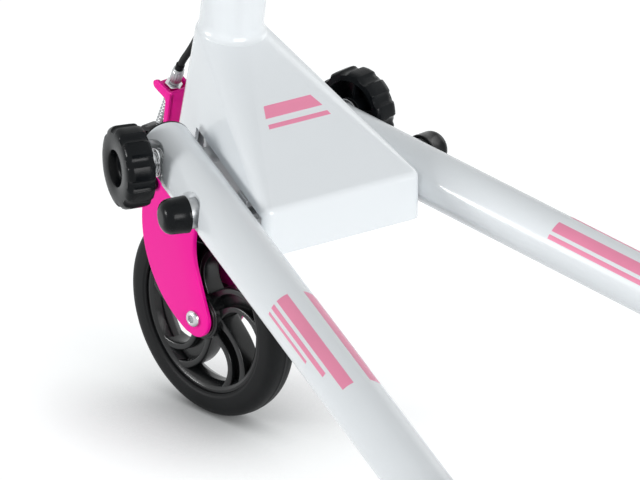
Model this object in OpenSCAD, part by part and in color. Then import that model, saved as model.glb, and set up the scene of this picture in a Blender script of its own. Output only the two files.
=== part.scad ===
// Three-wheeled wiggle scooter: one steered front wheel, two folding arms, two rear castors
// Millimetres. Z is up, the scooter drives towards -Y, the rider's left is +X.
// The origin is on the ground, midway between the front and the rear of the whole scooter.

/* [Front wheel] */
// tyre diameter
wheel_d = 150; // [146:1:154]
// tyre width
tyre_w = 23.5; // [21:0.5:25]
// diameter where the tyre sits on the rim
rim_d = 114; // [108:1:118]
// rim band thickness
rim_wall = 8; // [6:0.5:10]
// rim width
rim_w = 19; // [16:0.5:20]
// wheel hub diameter
hub_d = 34; // [34:1:38]
// wheel hub length along the axle
hub_len = 26.4; // [26:0.1:26.6]
// width of one spoke rib
spoke_w = 6; // [5:0.5:6.5]
// depth of a spoke along the axle
spoke_depth = 12; // [10:0.5:15]
// distance from the wheel's radius line to a rib's middle
spoke_off = 6.5; // [5.5:0.5:6.5]
// number of spoke pairs
spoke_pairs = 5; // [4:1:5]
// axle diameter, front and rear
axle_d = 8; // [7:0.5:9]
// outside diameter of the wheel bearings
bearing_d = 22; // [20:0.5:24]
// bearing width
bearing_w = 7; // [6:0.5:8]
// diameter of the round bolt heads
bolt_head_d = 11; // [10:0.5:13]
// height of the round bolt heads
bolt_head_h = 3.4; // [3:0.1:4]
// key size of the socket in a bolt head
socket_key = 5; // [4:0.5:6]

/* [Steering] */
// lean of the steering axis from upright, degrees
head_tilt = 10.3; // [9:0.1:12]
// angle the front wheel is turned to the left as stored, degrees
steer_rest = 8.3; // [0:0.1:12]
// distance of the axle behind the steering axis
fork_trail = 14.2; // [12:0.1:16]
// head tube diameter
head_d = 43.8; // [42:0.2:46]
// head tube wall
head_wall = 2.5; // [2:0.1:3]
// height of the head tube's lower end above the axle, along the steering axis
head_low = 108; // [107:0.5:110]
// head tube length
head_len = 222; // [200:1:240]
// steering column diameter
column_d = 34; // [32:0.5:35]
// steering column wall
column_wall = 2.7; // [2:0.1:3]
// height of the column's top above the axle
column_top = 600; // [560:5:620]
// thickness of a headset flange
cup_flange = 4; // [3:0.5:4.5]
// width a headset flange stands out from the tube
cup_lip = 2; // [1:0.5:3]
// depth of a headset cup inside the tube
cup_depth = 12; // [8:1:16]
// height of the headset nut
nut_h = 12; // [8:1:16]
// depth of a clamp collar's ear behind the column
collar_ear = 36; // [32:1:40]
// clamp collar wall
collar_wall = 6; // [5:0.5:8]
// clamp collar height
collar_h = 32; // [26:1:40]
// width of the collar's ears
collar_ears = 18; // [16:1:22]
// collar slot width
collar_slot = 4; // [2:0.5:5]
// collar bolt diameter
collar_bolt_d = 6; // [5:0.5:6]

/* [Fork] */
// gap between the two fork blades
fork_gap = 27.4; // [27.2:0.1:28]
// blade plate thickness
blade_t = 4; // [3:0.5:5]
// radius of the blade's bowed front edge
bow_r = 79.5; // [78:0.5:81]
// centre of the front bow behind the steering axis
bow_y = 30; // [29:0.5:31]
// centre of the front bow above the axle
bow_z = 62; // [61:0.5:63]
// radius of the blade's hollow rear edge
hollow_r = 55; // [53:0.5:56]
// centre of the rear hollow behind the steering axis
hollow_y = 60; // [59:0.5:61]
// centre of the rear hollow above the axle
hollow_z = 60; // [59:0.5:61]
// radius of the blade's round end
blade_end_r = 14; // [13:0.5:15]
// height of the crown's top above the axle
crown_top = 102; // [101:0.5:103]
// crown thickness
crown_t = 12; // [10:0.5:13]
// crown's reach in front of the steering axis
crown_front = 33; // [32:0.5:34]
// crown's reach behind the steering axis
crown_rear = 19; // [18.5:0.5:20]

/* [Brake] */
// tilt of the brake wire from the steering axis, degrees
wire_tilt = 14.1; // [13.5:0.1:14.7]
// the wire's anchor in front of the steering axis
anchor_y = 58.8; // [58:0.2:59.6]
// the wire's anchor above the axle
anchor_z = 107.9; // [107:0.1:109]
// distance from the anchor up the wire to the cable stop
stop_up = 38.4; // [37.6:0.2:39.2]
// cable stop thickness
stop_t = 3; // [2.5:0.5:4]
// brake pivot in front of the steering axis
pivot_y = 40; // [39.5:0.5:41]
// brake pivot above the axle
pivot_z = 82; // [81.5:0.5:82.5]
// brake pivot pin diameter
pivot_d = 6; // [5:0.5:6]
// width of the brake arm
brake_w = 12; // [10:0.5:13]
// thickness of the brake arm
brake_t = 6; // [5:0.5:6.5]
// outside diameter of the brake arm's hub
brake_hub_d = 12; // [11:0.5:12.5]
// pad length
pad_len = 22; // [18:1:24]
// pad width
pad_w = 17; // [14:1:19]
// distance from pad to tyre
pad_gap = 3.3; // [3.2:0.1:4]
// bracket plate thickness
bracket_t = 2.5; // [2:0.5:3]
// bracket width across its flanges
bracket_w = 21; // [20:0.5:23]
// depth of the bracket's flanges
flange_depth = 10.4; // [10:0.1:11]
// height over the crown where the flanges widen
flange_step = 20; // [18:0.5:22]
// height of the bracket above the crown
bracket_h = 46; // [45:0.5:47]
// width of the bracket's rounded ears
ear_w = 6.5; // [6:0.5:7]
// reach of the ears' tips in front of the steering axis
ear_y = 55; // [54:0.5:56]
// height of the ears' tips above the axle
ear_z = 150.5; // [149.5:0.5:151.5]
// cable housing diameter
cable_d = 5; // [4:0.5:5]
// inner wire diameter
wire_d = 1.6; // [1.2:0.1:2]
// radius of the cable's first bend, towards the head tube
cable_sway = 60; // [50:5:70]
// lean of the cable from the steering axis after its first bend, degrees
cable_lean = 26; // [24:0.5:28]
// radius of the cable's second bend, back along the head tube
cable_bend = 91; // [88:1:94]
// distance of the cable's upper end in front of the steering axis
cable_out = 42.6; // [41:0.2:44]
// bend radius of the cable below the handlebar
cable_turn = 70; // [60:2:74]
// adjuster barrel diameter
barrel_d = 8.5; // [8:0.5:9]
// adjuster barrel length above its nut
barrel_len = 13; // [12:0.5:14]
// adjuster nut size across the flats
barrel_key = 13; // [12:0.5:14]
// adjuster nut height
barrel_nut_h = 4; // [3:0.5:5]
// outside diameter of the return spring
spring_d = 7; // [6:0.5:7.5]
// spring wire thickness
spring_wire = 1; // [0.8:0.1:1.2]
// number of spring turns
spring_turns = 11; // [8:1:13]

/* [Handlebar] */
// height of the crossbar above the axle
bar_up = 770; // [740:5:790]
// crossbar length
bar_len = 420; // [400:10:440]
// crossbar diameter
bar_d = 22.2; // [20:0.2:24]
// bar wall
bar_wall = 2; // [1.5:0.1:2.5]
// length of the stem held in the column
stem_in = 60; // [50:5:80]
// grip length
grip_len = 115; // [105:1:120]
// grip diameter
grip_d = 32; // [30:0.5:34]
// thickness of the grip's closed end
grip_end = 4; // [3:0.5:6]
// distance from the bar to the lever's pivot
lever_out = 30; // [28:0.5:32]
// distance from the grip to the middle of the lever clamp
lever_in = 14; // [12:0.5:16]
// width of the lever clamp
perch_w = 18; // [16:0.5:20]
// lever clamp wall
perch_wall = 5; // [4:0.5:6]
// lever clamp height
perch_h = 20; // [18:0.5:24]
// lever length from pivot to tip
lever_len = 104; // [96:1:108]
// lever width
lever_w = 12; // [10:0.5:13]
// lever thickness
lever_t = 7; // [6:0.5:8]
// angle of the lever away from the grip, degrees
lever_open = 10; // [8:0.5:11]
// lever pin diameter
lever_pin_d = 6; // [5:0.5:6.5]
// diameter of the lever's round tip
lever_tip_d = 12; // [10:0.5:14]

/* [Frame] */
// fold pivot to the side of the middle plane
arm_x = 60.3; // [60:0.1:61]
// fold pivot behind the front axle
arm_y = 49.2; // [48.5:0.1:50]
// fold pivot above the ground
arm_z = 218.5; // [217:0.5:220]
// splay of each arm from straight back, degrees
arm_splay = 13; // [12.5:0.1:13.5]
// fall of each arm towards the rear, degrees
arm_slope = 7.8; // [7:0.1:8.4]
// arm tube diameter
arm_d = 37; // [36:0.2:37.6]
// arm tube wall
arm_wall = 2.5; // [2:0.1:3]
// arm length behind the pivot
arm_len = 720; // [690:1:735]
// arm length in front of the pivot
arm_nose = 21; // [20:0.5:23]
// end plug flange thickness
plug_t = 2; // [1.5:0.1:3]
// end plug depth in the tube
plug_in = 12; // [8:1:16]
// half width of the hood at its rear face
hood_half = 63.5; // [63:0.1:64]
// rear face of the hood behind the front axle
hood_rear = 159.8; // [158:0.2:161]
// top of the hood's rear face above the ground
hood_rear_top = 221; // [220:0.2:222]
// bottom of the hood above the ground
hood_low = 185; // [184:0.2:186]
// height of the hood's neck above the axle
hood_neck = 219.5; // [216:0.5:222]
// radius of the hood's neck
hood_neck_r = 25; // [24.6:0.1:25.6]
// distance of the neck's middle behind the steering axis
hood_neck_back = 2; // [1.6:0.1:2.4]
// radius of the hood's chin round the head tube
hood_chin_r = 26; // [25.5:0.1:26.4]
// distance of the chin's two rounds from the middle plane
hood_chin_spread = 4; // [3:0.5:4.5]
// rounding of the hood's rear edges
hood_round = 7; // [5:0.5:8]
// hood sheet thickness
hood_wall = 2.2; // [1.8:0.1:2.4]
// height of the hood's skirt edge over the arm's middle line
skirt_up = 8.5; // [8:0.1:9]
// the arm recess in front of the pivot
recess_front = 24.5; // [23.5:0.5:25]
// the arm recess behind the pivot
recess_rear = 103; // [101:0.5:104]
// distance from arm axis to the inner side plates
cheek_off = 28.5; // [28:0.1:29]
// side plate thickness
cheek_t = 4; // [3:0.5:4.5]
// depth of the side plates below the arm's middle line
cheek_down = 22; // [20:0.5:24]

/* [Fold joint] */
// pivot bolt diameter
bolt_d = 8; // [7:0.5:8.5]
// pivot bolt head across the flats
bolt_key = 13; // [12:0.5:14]
// pivot bolt head height
bolt_key_h = 5.5; // [5:0.5:6]
// bush diameter across the arm
bush_d = 14; // [13:0.5:16]
// spacer diameter
spacer_d = 11; // [10:0.5:12]
// washer diameter
washer_d = 19; // [18:0.5:22]
// thickness of one washer
washer_t = 2.2; // [2:0.1:2.6]
// knob diameter
knob_d = 57; // [55:0.5:59]
// knob thickness
knob_t = 19.6; // [18:0.2:21]
// distance from the arm tube to the knob's outer face
knob_out = 26.1; // [25.5:0.1:27.5]
// number of flutes round the knob
flutes = 10; // [8:1:12]
// flute diameter
flute_d = 8; // [6:0.5:9]
// share of the flute's radius that stands outside the knob
flute_share = 0.45; // [0.3:0.05:0.6]
// diameter of the recess in the knob's face
dish_d = 25; // [22:0.5:28]
// depth of the recess
dish_depth = 7; // [5:0.5:7]
// plunger behind the pivot along the arm
plunger_s = 70.9; // [69:0.1:72]
// plunger pin diameter
pin_d = 6; // [5:0.5:6]
// pull cap diameter
cap_d = 25.3; // [25:0.1:26]
// distance from the arm tube to the pull cap's outer end
cap_out = 20; // [19.5:0.1:21.5]
// distance from the arm tube to the pull cap's rim
cap_in = 3.7; // [3.5:0.1:4.1]
// depth of the hollow in the pull cap
cap_hollow = 3.6; // [3.5:0.1:4]
// rounding of the pull cap's end
cap_round = 6; // [4:0.5:7]
// ferrule flange diameter
ferrule_d = 20.8; // [20:0.1:21]
// distance from the arm tube to the ferrule's end
ferrule_out = 3.2; // [2.9:0.1:3.4]
// ferrule neck diameter
ferrule_neck = 12; // [10:0.5:13]
// height of the pair of latch jaws on a side plate
latch_d = 15; // [13:0.5:16]
// distance from the arm tube to the face of the latch jaws
latch_off = 0.9; // [0.8:0.1:1.1]

/* [Foot deck] */
// deck length along the arm
deck_len = 225; // [215:1:235]
// deck width
deck_w = 104; // [96:1:112]
// deck thickness
deck_t = 9; // [7:0.5:12]
// distance of the deck's rear end from the arm's rear end
deck_in = 8; // [4:1:16]
// rounding of the deck's corners
deck_round = 36; // [24:1:44]
// height of the deck's underside over the arm's middle line
deck_up = 21; // [20:0.5:23]
// length of one saddle under the deck
saddle_len = 30; // [20:1:40]
// saddle width
saddle_w = 30; // [24:1:34]
// distance of a saddle from the deck's end
saddle_in = 40; // [30:1:50]
// tread mat thickness
mat_t = 2; // [1:0.5:3]
// bare border round the mat
mat_edge = 7; // [5:0.5:10]

/* [Castor] */
// castor wheel diameter
castor_d = 80; // [76:1:84]
// castor tyre width
castor_w = 24; // [20:0.5:25]
// castor hub diameter where the tyre starts
core_d = 50; // [46:1:54]
// castor hub width
core_w = 28.4; // [28:0.1:28.6]
// forward lean of the swivel axis, degrees
castor_tilt = 15; // [12:0.5:18]
// distance of the castor axle behind the swivel axis
castor_trail = 30; // [28:0.5:34]
// distance of the castor from the arm's rear end
castor_in = 35; // [30:1:40]
// height of the castor housing's foot below the arm's middle line
castor_down = 38; // [36:0.5:40]
// castor housing diameter
housing_d = 34; // [32:0.5:36]
// kingpin diameter
kingpin_d = 10; // [9:0.5:12]
// kingpin length in the housing
kingpin_len = 17; // [14:0.5:17.5]
// castor fork plate thickness
leg_t = 4; // [3:0.5:5]
// gap between the castor fork's legs
leg_gap = 29; // [28.8:0.1:30]
// width of a castor fork leg
leg_w = 20; // [18:0.5:24]
// castor fork crown diameter
crown_d = 38; // [37.5:0.5:40]
// castor fork crown thickness
castor_crown_t = 5; // [4:0.5:6]

/* [Fits] */
// radial clearance of a turning or sliding fit
fit = 0.05; // [0.03:0.01:0.08]
// clearance between flat faces that pass each other
clear = 0.5; // [0.4:0.05:0.6]
// radial clearance where a cap passes over a ferrule
cap_clear = 0.4; // [0.35:0.05:0.5]

/* [Hidden] */
$fn = 64;
// overrun of every cut
over = 1;
round_fn = 32;
tyre_shoulder_share = 0.3;
tyre_crown_share = 0.5;
tyre_side_share = 0.86;
mesh_sides = 6;
mesh_steps = 14;
axle_h = wheel_d / 2;
blade_in = fork_gap / 2;
blade_out = blade_in + blade_t;
castor_s = arm_len - castor_in;
deck_s = arm_len - deck_in - deck_len;
castor_drop = (castor_z() + castor_trail * sin(castor_tilt) - castor_d / 2) / cos(castor_tilt);
castor_y = arm_y + castor_s * cos(arm_slope) * cos(arm_splay);
castor_x = arm_x + castor_s * cos(arm_slope) * sin(arm_splay);
rear_y = castor_y + castor_trail * cos(castor_tilt) + castor_drop * sin(castor_tilt) + castor_d / 2;
mid_y = (rear_y - wheel_d / 2) / 2;
knob_face = arm_d / 2 + knob_out;
knob_in = knob_face - knob_t;
cap_end = arm_d / 2 + cap_out;
cap_rim = arm_d / 2 + cap_in;
ferrule_end = arm_d / 2 + ferrule_out;
latch_face = arm_d / 2 + latch_off;
head_top = head_low + head_len;
column_low = crown_top;
stop_len = stop_up + stop_t + barrel_nut_h + barrel_len;
sway_y = -anchor_y + stop_len * sin(wire_tilt) + cable_sway * cos(wire_tilt);
sway_z = anchor_z + stop_len * cos(wire_tilt) - cable_sway * sin(wire_tilt);
bend_y = sway_y - (cable_sway + cable_bend) * cos(cable_lean);
bend_z = sway_z + (cable_sway + cable_bend) * sin(cable_lean);
run_dy = -cable_out - bend_y;
run_dz = bar_up - bend_z;
run_tilt = atan2(run_dz, run_dy) - acos(cable_bend / norm([run_dy, run_dz]));
run_len = sqrt(run_dy * run_dy + run_dz * run_dz - cable_bend * cable_bend);
perch_x = bar_len / 2 - grip_len - lever_in;
deck_top = deck_up + deck_t;
collar_bolt_y = (column_d / 2 + collar_wall + collar_ear) / 2;
collar_bolt_shares = [0.25, 0.75];

function castor_z() = arm_z - castor_s * sin(arm_slope) - castor_down;

// all places below are measured from the point on the ground under the front axle
module from_front() { translate([0, -mid_y, 0]) children(); }

// steering axis upright, axle height at zero, wheel straight
module on_head() {
    from_front() translate([0, 0, axle_h]) rotate([-head_tilt, 0, 0]) translate([0, -fork_trail, 0])
        children();
}

// the same, turned as the steering is stored
module on_fork() { on_head() rotate([0, 0, steer_rest]) children(); }

// front axle as origin, turned with the fork
module on_axle() { on_fork() translate([0, fork_trail, 0]) children(); }

// brake wire as upright axis, its anchor as origin
module on_wire() { on_fork() translate([0, -anchor_y, anchor_z]) rotate([-wire_tilt, 0, 0]) children(); }

// left arm: outward along x, rearward along y, fold pivot as origin
module on_arm() {
    from_front() translate([arm_x, arm_y, arm_z]) rotate([0, 0, -arm_splay]) rotate([-arm_slope, 0, 0])
        children();
}

// left castor: swivel axis upright, foot of the housing as origin
module on_castor() {
    from_front() translate([castor_x, castor_y, castor_z()]) rotate([castor_tilt, 0, 0]) children();
}

module on_castor_axle() { on_castor() translate([0, castor_trail, -castor_drop]) children(); }

module mirrored() { mirror([1, 0, 0]) children(); }

module both() {
    children();
    mirrored() children();
}

// round bar along x
module bar_x(d, from, to) { translate([from, 0, 0]) rotate([0, 90, 0]) cylinder(d = d, h = to - from); }

// round bar along y
module bar_y(d, from, to) { translate([0, from, 0]) rotate([-90, 0, 0]) cylinder(d = d, h = to - from); }

// round bar along z
module bar_z(d, from, to) { translate([0, 0, from]) cylinder(d = d, h = to - from); }

// block centred in x
module block(w, y0, y1, z0, z1) { translate([-w / 2, y0, z0]) cube([w, y1 - y0, z1 - z0]); }

// tube along z
module tube(d, bore, from, to) {
    difference() {
        bar_z(d, from, to);
        bar_z(bore, from - over, to + over);
    }
}

// round bolt head with a six-sided socket, standing out along +x
module round_head() {
    difference() {
        bar_x(bolt_head_d, 0, bolt_head_h);
        translate([bolt_head_h / 2, 0, 0]) rotate([0, 90, 0])
            cylinder(d = socket_key / cos(30), h = bolt_head_h, $fn = 6);
    }
}

// flat strip in the plane x = 0 from one (y, z) point to another
module strip(w, t, y0, z0, y1, z1) {
    reach = sqrt((y1 - y0) * (y1 - y0) + (z1 - z0) * (z1 - z0));
    translate([0, y0, z0]) rotate([atan2(z1 - z0, y1 - y0), 0, 0]) block(w, 0, reach, -t / 2, t / 2);
}

// coil spring along z
module coil(d, wire, from, to, turns) {
    steps = turns * mesh_steps;
    points = [for (i = [0 : steps], k = [0 : mesh_sides - 1])
        let (a = 360 * i / mesh_steps, b = 360 * k / mesh_sides, r = d / 2 - wire / 2 + wire / 2 * cos(b))
        [r * cos(a), r * sin(a), from + wire / 2 + (to - from - wire) * i / steps + wire / 2 * sin(b)]];
    sides = [for (i = [0 : steps - 1], k = [0 : mesh_sides - 1], h = [0, 1])
        let (a = i * mesh_sides + k, b = i * mesh_sides + (k + 1) % mesh_sides)
        h == 0 ? [a, a + mesh_sides, b] : [b, a + mesh_sides, b + mesh_sides]];
    start = [[for (k = [0 : mesh_sides - 1]) k]];
    end = [[for (k = [mesh_sides - 1 : -1 : 0]) steps * mesh_sides + k]];
    polyhedron(points = points, faces = concat(sides, start, end));
}

// Frame

module hood_form(inset, drop) {
    hull() {
        on_head() translate([0, hood_neck_back, hood_neck - inset - hood_round])
            cylinder(r = hood_neck_r - inset, h = hood_round, $fn = round_fn);
        for (side = [-1, 1]) on_head() translate([side * hood_chin_spread, 0, head_low - drop])
            cylinder(r = hood_chin_r - inset, h = hood_round, $fn = round_fn);
        for (side = [-1, 1]) from_front()
            translate([side * (hood_half - hood_round), hood_rear - hood_round, 0]) {
                translate([0, 0, hood_rear_top - hood_round]) sphere(r = hood_round - inset, $fn = round_fn);
                translate([0, 0, hood_low - drop])
                    cylinder(r = hood_round - inset, h = hood_round, $fn = round_fn);
            }
    }
}

module arm_recess() {
    on_arm() translate([-cheek_off - cheek_t, -recess_front, -hood_rear])
        cube([hood_half, recess_front + recess_rear, hood_rear + skirt_up]);
}

module hood() {
    color("White") difference() {
        hood_form(0, 0);
        hood_form(hood_wall, hood_round + over);
        on_head() bar_z(head_d, 0, head_top);
        both() arm_recess();
    }
}

module head_tube() { color("White") on_head() tube(head_d, head_d - 2 * head_wall, head_low, head_top); }

module headset_cup() {
    tube(head_d + 2 * cup_lip, column_d + 2 * fit, -cup_flange, 0);
    tube(head_d - 2 * head_wall, column_d + 2 * fit, 0, cup_depth);
}

module headset_cups() {
    color("Silver") on_head() {
        translate([0, 0, head_low]) headset_cup();
        translate([0, 0, head_top]) mirror([0, 0, 1]) headset_cup();
    }
}

module side_plate() {
    difference() {
        intersection() {
            on_arm() translate([-cheek_off - cheek_t, -hood_rear, -cheek_down])
                cube([cheek_t, 2 * hood_rear, cheek_down + skirt_up - clear]);
            from_front() translate([0, arm_y - head_d, hood_low + hood_wall])
                cube([hood_half, hood_rear - hood_round - arm_y + head_d, hood_rear]);
        }
        on_head() bar_z(head_d, 0, head_top);
        on_arm() bar_x(bolt_d, -hood_half, 0);
    }
}

// two jaws that hold the plunger pin between them
module latch_jaws() {
    jaw_h = (latch_d - pin_d) / 2 - 2 * fit;
    on_arm() translate([fit - cheek_off, plunger_s - latch_d / 2, 0])
        for (low = [-latch_d / 2, latch_d / 2 - jaw_h])
            translate([0, 0, low]) cube([cheek_off - fit - latch_face, latch_d, jaw_h]);
}

module side_plates() {
    color("White") both() {
        side_plate();
        latch_jaws();
    }
}

module pivot_bolt() {
    on_arm() {
        bar_x(bolt_d, -cheek_off - cheek_t, knob_face - dish_depth - plug_t);
        translate([-cheek_off - cheek_t - bolt_key_h, 0, 0]) rotate([0, 90, 0])
            cylinder(d = bolt_key / cos(30), h = bolt_key_h, $fn = 6);
    }
}

module pivot_bolts() { color("Silver") both() pivot_bolt(); }

module spacer() {
    on_arm() difference() {
        bar_x(spacer_d, -cheek_off, -arm_d / 2 - clear);
        bar_x(bolt_d, -hood_half, 0);
    }
}

module pivot_spacers() { color("DimGray") both() spacer(); }

module washers() {
    on_arm() difference() {
        union() {
            bar_x(washer_d, knob_in - clear - washer_t, knob_in - clear);
            bar_x(washer_d - 2 * washer_t, arm_d / 2 + clear, knob_in - clear - washer_t);
        }
        bar_x(bolt_d, 0, knob_face);
    }
}

module knob_washers() { color("Silver") both() washers(); }

// Fold knobs

module knob() {
    on_arm() difference() {
        bar_x(knob_d, knob_in, knob_face);
        for (i = [0 : flutes - 1]) rotate([360 * i / flutes, 0, 0])
            translate([0, knob_d / 2 + flute_d / 2 * flute_share, 0])
                bar_x(flute_d, knob_in - over, knob_face + over);
        bar_x(dish_d, knob_face - dish_depth, knob_face + over);
        bar_x(bolt_d + 2 * fit, knob_in - over, knob_face - dish_depth - plug_t + clear);
    }
}

module left_knob() { color("DimGray") knob(); }

module right_knob() { color("DimGray") mirrored() knob(); }

// Arms

module arm_tube() {
    on_arm() difference() {
        union() {
            difference() {
                bar_y(arm_d, plug_t - arm_nose, arm_len - plug_t);
                bar_y(arm_d - 2 * arm_wall, -arm_nose, arm_len);
            }
            intersection() {
                bar_x(bush_d, -arm_d / 2, arm_d / 2);
                bar_y(arm_d - arm_wall, -arm_nose, arm_nose);
            }
        }
        bar_x(bolt_d + 2 * fit, -arm_d, arm_d);
        translate([0, plunger_s, 0]) {
            bar_x(ferrule_neck, 0, arm_d);
            bar_x(pin_d + 2 * fit, -arm_d, 0);
        }
    }
}

module left_arm() { color("White") arm_tube(); }

module right_arm() { color("White") mirrored() arm_tube(); }

module arm_plugs() {
    on_arm() {
        bar_y(arm_d, -arm_nose, plug_t - arm_nose);
        bar_y(arm_d - 2 * arm_wall, plug_t - arm_nose, plug_t - arm_nose + plug_t);
        bar_y(arm_d, arm_len - plug_t, arm_len);
        bar_y(arm_d - 2 * arm_wall, arm_len - plug_t - plug_in, arm_len - plug_t);
    }
}

module left_arm_plugs() { color("DimGray") arm_plugs(); }

module right_arm_plugs() { color("DimGray") mirrored() arm_plugs(); }

module ferrule() {
    on_arm() difference() {
        union() {
            difference() {
                translate([0, plunger_s, 0]) bar_x(ferrule_d, 0, ferrule_end);
                bar_y(arm_d, 0, arm_len);
            }
            translate([0, plunger_s, 0]) bar_x(ferrule_neck, arm_d / 2 - 2 * arm_wall, ferrule_end);
        }
        translate([0, plunger_s, 0]) bar_x(pin_d + 2 * fit, 0, knob_face);
    }
}

module left_ferrule() { color("Silver") ferrule(); }

module right_ferrule() { color("Silver") mirrored() ferrule(); }

module pull_cap() {
    on_arm() translate([0, plunger_s, 0]) difference() {
        union() {
            bar_x(cap_d, cap_rim, cap_end - cap_round);
            translate([cap_end - cap_round, 0, 0]) rotate([0, 90, 0])
                cylinder(d1 = cap_d, d2 = cap_d - cap_round, h = cap_round / 2);
            translate([cap_end - cap_round / 2, 0, 0]) rotate([0, 90, 0])
                cylinder(d1 = cap_d - cap_round, d2 = cap_d - 3 * cap_round, h = cap_round / 2);
        }
        bar_x(ferrule_d + 2 * cap_clear, cap_rim - over, cap_rim + cap_hollow);
        bar_x(pin_d, cap_rim, cap_end - cap_round);
    }
}

module left_pull_cap() { color("DimGray") pull_cap(); }

module right_pull_cap() { color("DimGray") mirrored() pull_cap(); }

module plunger_pin() {
    on_arm() translate([0, plunger_s, 0]) bar_x(pin_d, clear - latch_face, cap_end - cap_round);
}

module left_pin() { color("Silver") plunger_pin(); }

module right_pin() { color("Silver") mirrored() plunger_pin(); }

// plate with rounded corners, centred in x
module rounded_plate(w, y0, y1, z0, z1, r) {
    block(w - 2 * r, y0, y1, z0, z1);
    block(w, y0 + r, y1 - r, z0, z1);
    for (side = [-1, 1], y = [y0 + r, y1 - r])
        translate([side * (w / 2 - r), y, z0]) cylinder(r = r, h = z1 - z0);
}

module deck() {
    on_arm() {
        rounded_plate(deck_w, deck_s, deck_s + deck_len, deck_up, deck_top, deck_round);
        difference() {
            for (y = [deck_s + saddle_in, deck_s + deck_len - saddle_in - saddle_len])
                block(saddle_w, y, y + saddle_len, 0, deck_up);
            bar_y(arm_d, 0, arm_len);
        }
    }
}

module left_deck() { color("DimGray") deck(); }

module right_deck() { color("DimGray") mirrored() deck(); }

module deck_mat() {
    on_arm() rounded_plate(deck_w - 2 * mat_edge, deck_s + mat_edge, deck_s + deck_len - mat_edge,
        deck_top, deck_top + mat_t, deck_round - mat_edge);
}

module left_deck_mat() { color("Gray") deck_mat(); }

module right_deck_mat() { color("Gray") mirrored() deck_mat(); }

// Castors

module castor_housing() {
    difference() {
        on_castor() bar_z(housing_d, 0, castor_down);
        on_arm() bar_y(arm_d, 0, arm_len + arm_d);
        on_arm() translate([-arm_d, 0, 0]) cube([2 * arm_d, arm_len + arm_d, arm_d]);
        on_castor() bar_z(kingpin_d + 2 * fit, -over, kingpin_len + clear);
    }
}

module left_castor_housing() { color("White") castor_housing(); }

module right_castor_housing() { color("White") mirrored() castor_housing(); }

module castor_leg() {
    hull() {
        translate([0, leg_w / 4, -clear - leg_w / 2]) bar_x(leg_w, leg_gap / 2, leg_gap / 2 + leg_t);
        translate([0, castor_trail, -castor_drop]) bar_x(leg_w, leg_gap / 2, leg_gap / 2 + leg_t);
    }
}

module castor_fork() {
    on_castor() difference() {
        union() {
            bar_z(crown_d, -clear - castor_crown_t, -clear);
            bar_z(kingpin_d, -clear - castor_crown_t, kingpin_len);
            both() castor_leg();
        }
        translate([0, castor_trail, -castor_drop]) bar_x(axle_d, -crown_d, crown_d);
    }
}

module left_castor_fork() { color("Silver") castor_fork(); }

module right_castor_fork() { color("Silver") mirrored() castor_fork(); }

module castor_axle() {
    on_castor_axle() {
        bar_x(axle_d, -leg_gap / 2 - leg_t, leg_gap / 2 + leg_t);
        both() translate([leg_gap / 2 + leg_t, 0, 0]) round_head();
    }
}

module left_castor_axle() { color("Silver") castor_axle(); }

module right_castor_axle() { color("Silver") mirrored() castor_axle(); }

// tyre ring about the x axis, flat in the middle and narrowed towards its tread
module tyre(d, bore, w) {
    side_r = bore / 2 + (d - bore) / 2 * tyre_side_share - (d - bore) / 2 * tyre_shoulder_share;
    rotate([0, 90, 0]) rotate_extrude() polygon([
        [bore / 2, -w / 2], [side_r, -w / 2],
        [bore / 2 + (d - bore) / 2 * tyre_side_share, -w / 2 * (1 - tyre_shoulder_share)],
        [d / 2, -w / 2 * tyre_shoulder_share], [d / 2, w / 2 * tyre_shoulder_share],
        [bore / 2 + (d - bore) / 2 * tyre_side_share, w / 2 * (1 - tyre_shoulder_share)],
        [side_r, w / 2], [bore / 2, w / 2]]);
}

module left_castor_tyre() { color("DimGray") on_castor_axle() tyre(castor_d, core_d, castor_w); }

module right_castor_tyre() {
    color("DimGray") mirrored() on_castor_axle() tyre(castor_d, core_d, castor_w);
}

module castor_core() {
    on_castor_axle() difference() {
        union() {
            bar_x(core_d, -castor_w / 2, castor_w / 2);
            bar_x(bearing_d, -core_w / 2, core_w / 2);
        }
        bar_x(axle_d + 2 * fit, -core_w, core_w);
    }
}

module left_castor_core() { color("White") castor_core(); }

module right_castor_core() { color("White") mirrored() castor_core(); }

// Front wheel

module front_tyre() { color("DimGray") on_axle() tyre(wheel_d, rim_d, tyre_w); }

module front_rim() {
    color("DimGray") on_axle() difference() {
        union() {
            difference() {
                bar_x(rim_d, -rim_w / 2, rim_w / 2);
                bar_x(rim_d - 2 * rim_wall, -rim_w, rim_w);
            }
            bar_x(hub_d, -hub_len / 2, hub_len / 2);
            for (i = [0 : spoke_pairs - 1], side = [-1, 1]) rotate([360 * i / spoke_pairs, 0, 0])
                translate([-spoke_depth / 2, side * spoke_off - spoke_w / 2, hub_d / 2 - spoke_w])
                    cube([spoke_depth, spoke_w, rim_d / 2 - rim_wall / 2 - hub_d / 2 + spoke_w]);
        }
        bar_x(axle_d + 2 * clear, -hub_len, hub_len);
        both() bar_x(bearing_d, hub_len / 2 - bearing_w, hub_len);
    }
}

module front_bearing() {
    difference() {
        bar_x(bearing_d, hub_len / 2 - bearing_w, hub_len / 2);
        bar_x(axle_d + 2 * fit, 0, hub_len);
    }
}

module front_bearings() { color("Silver") on_axle() both() front_bearing(); }

// Fork and steering column

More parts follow.
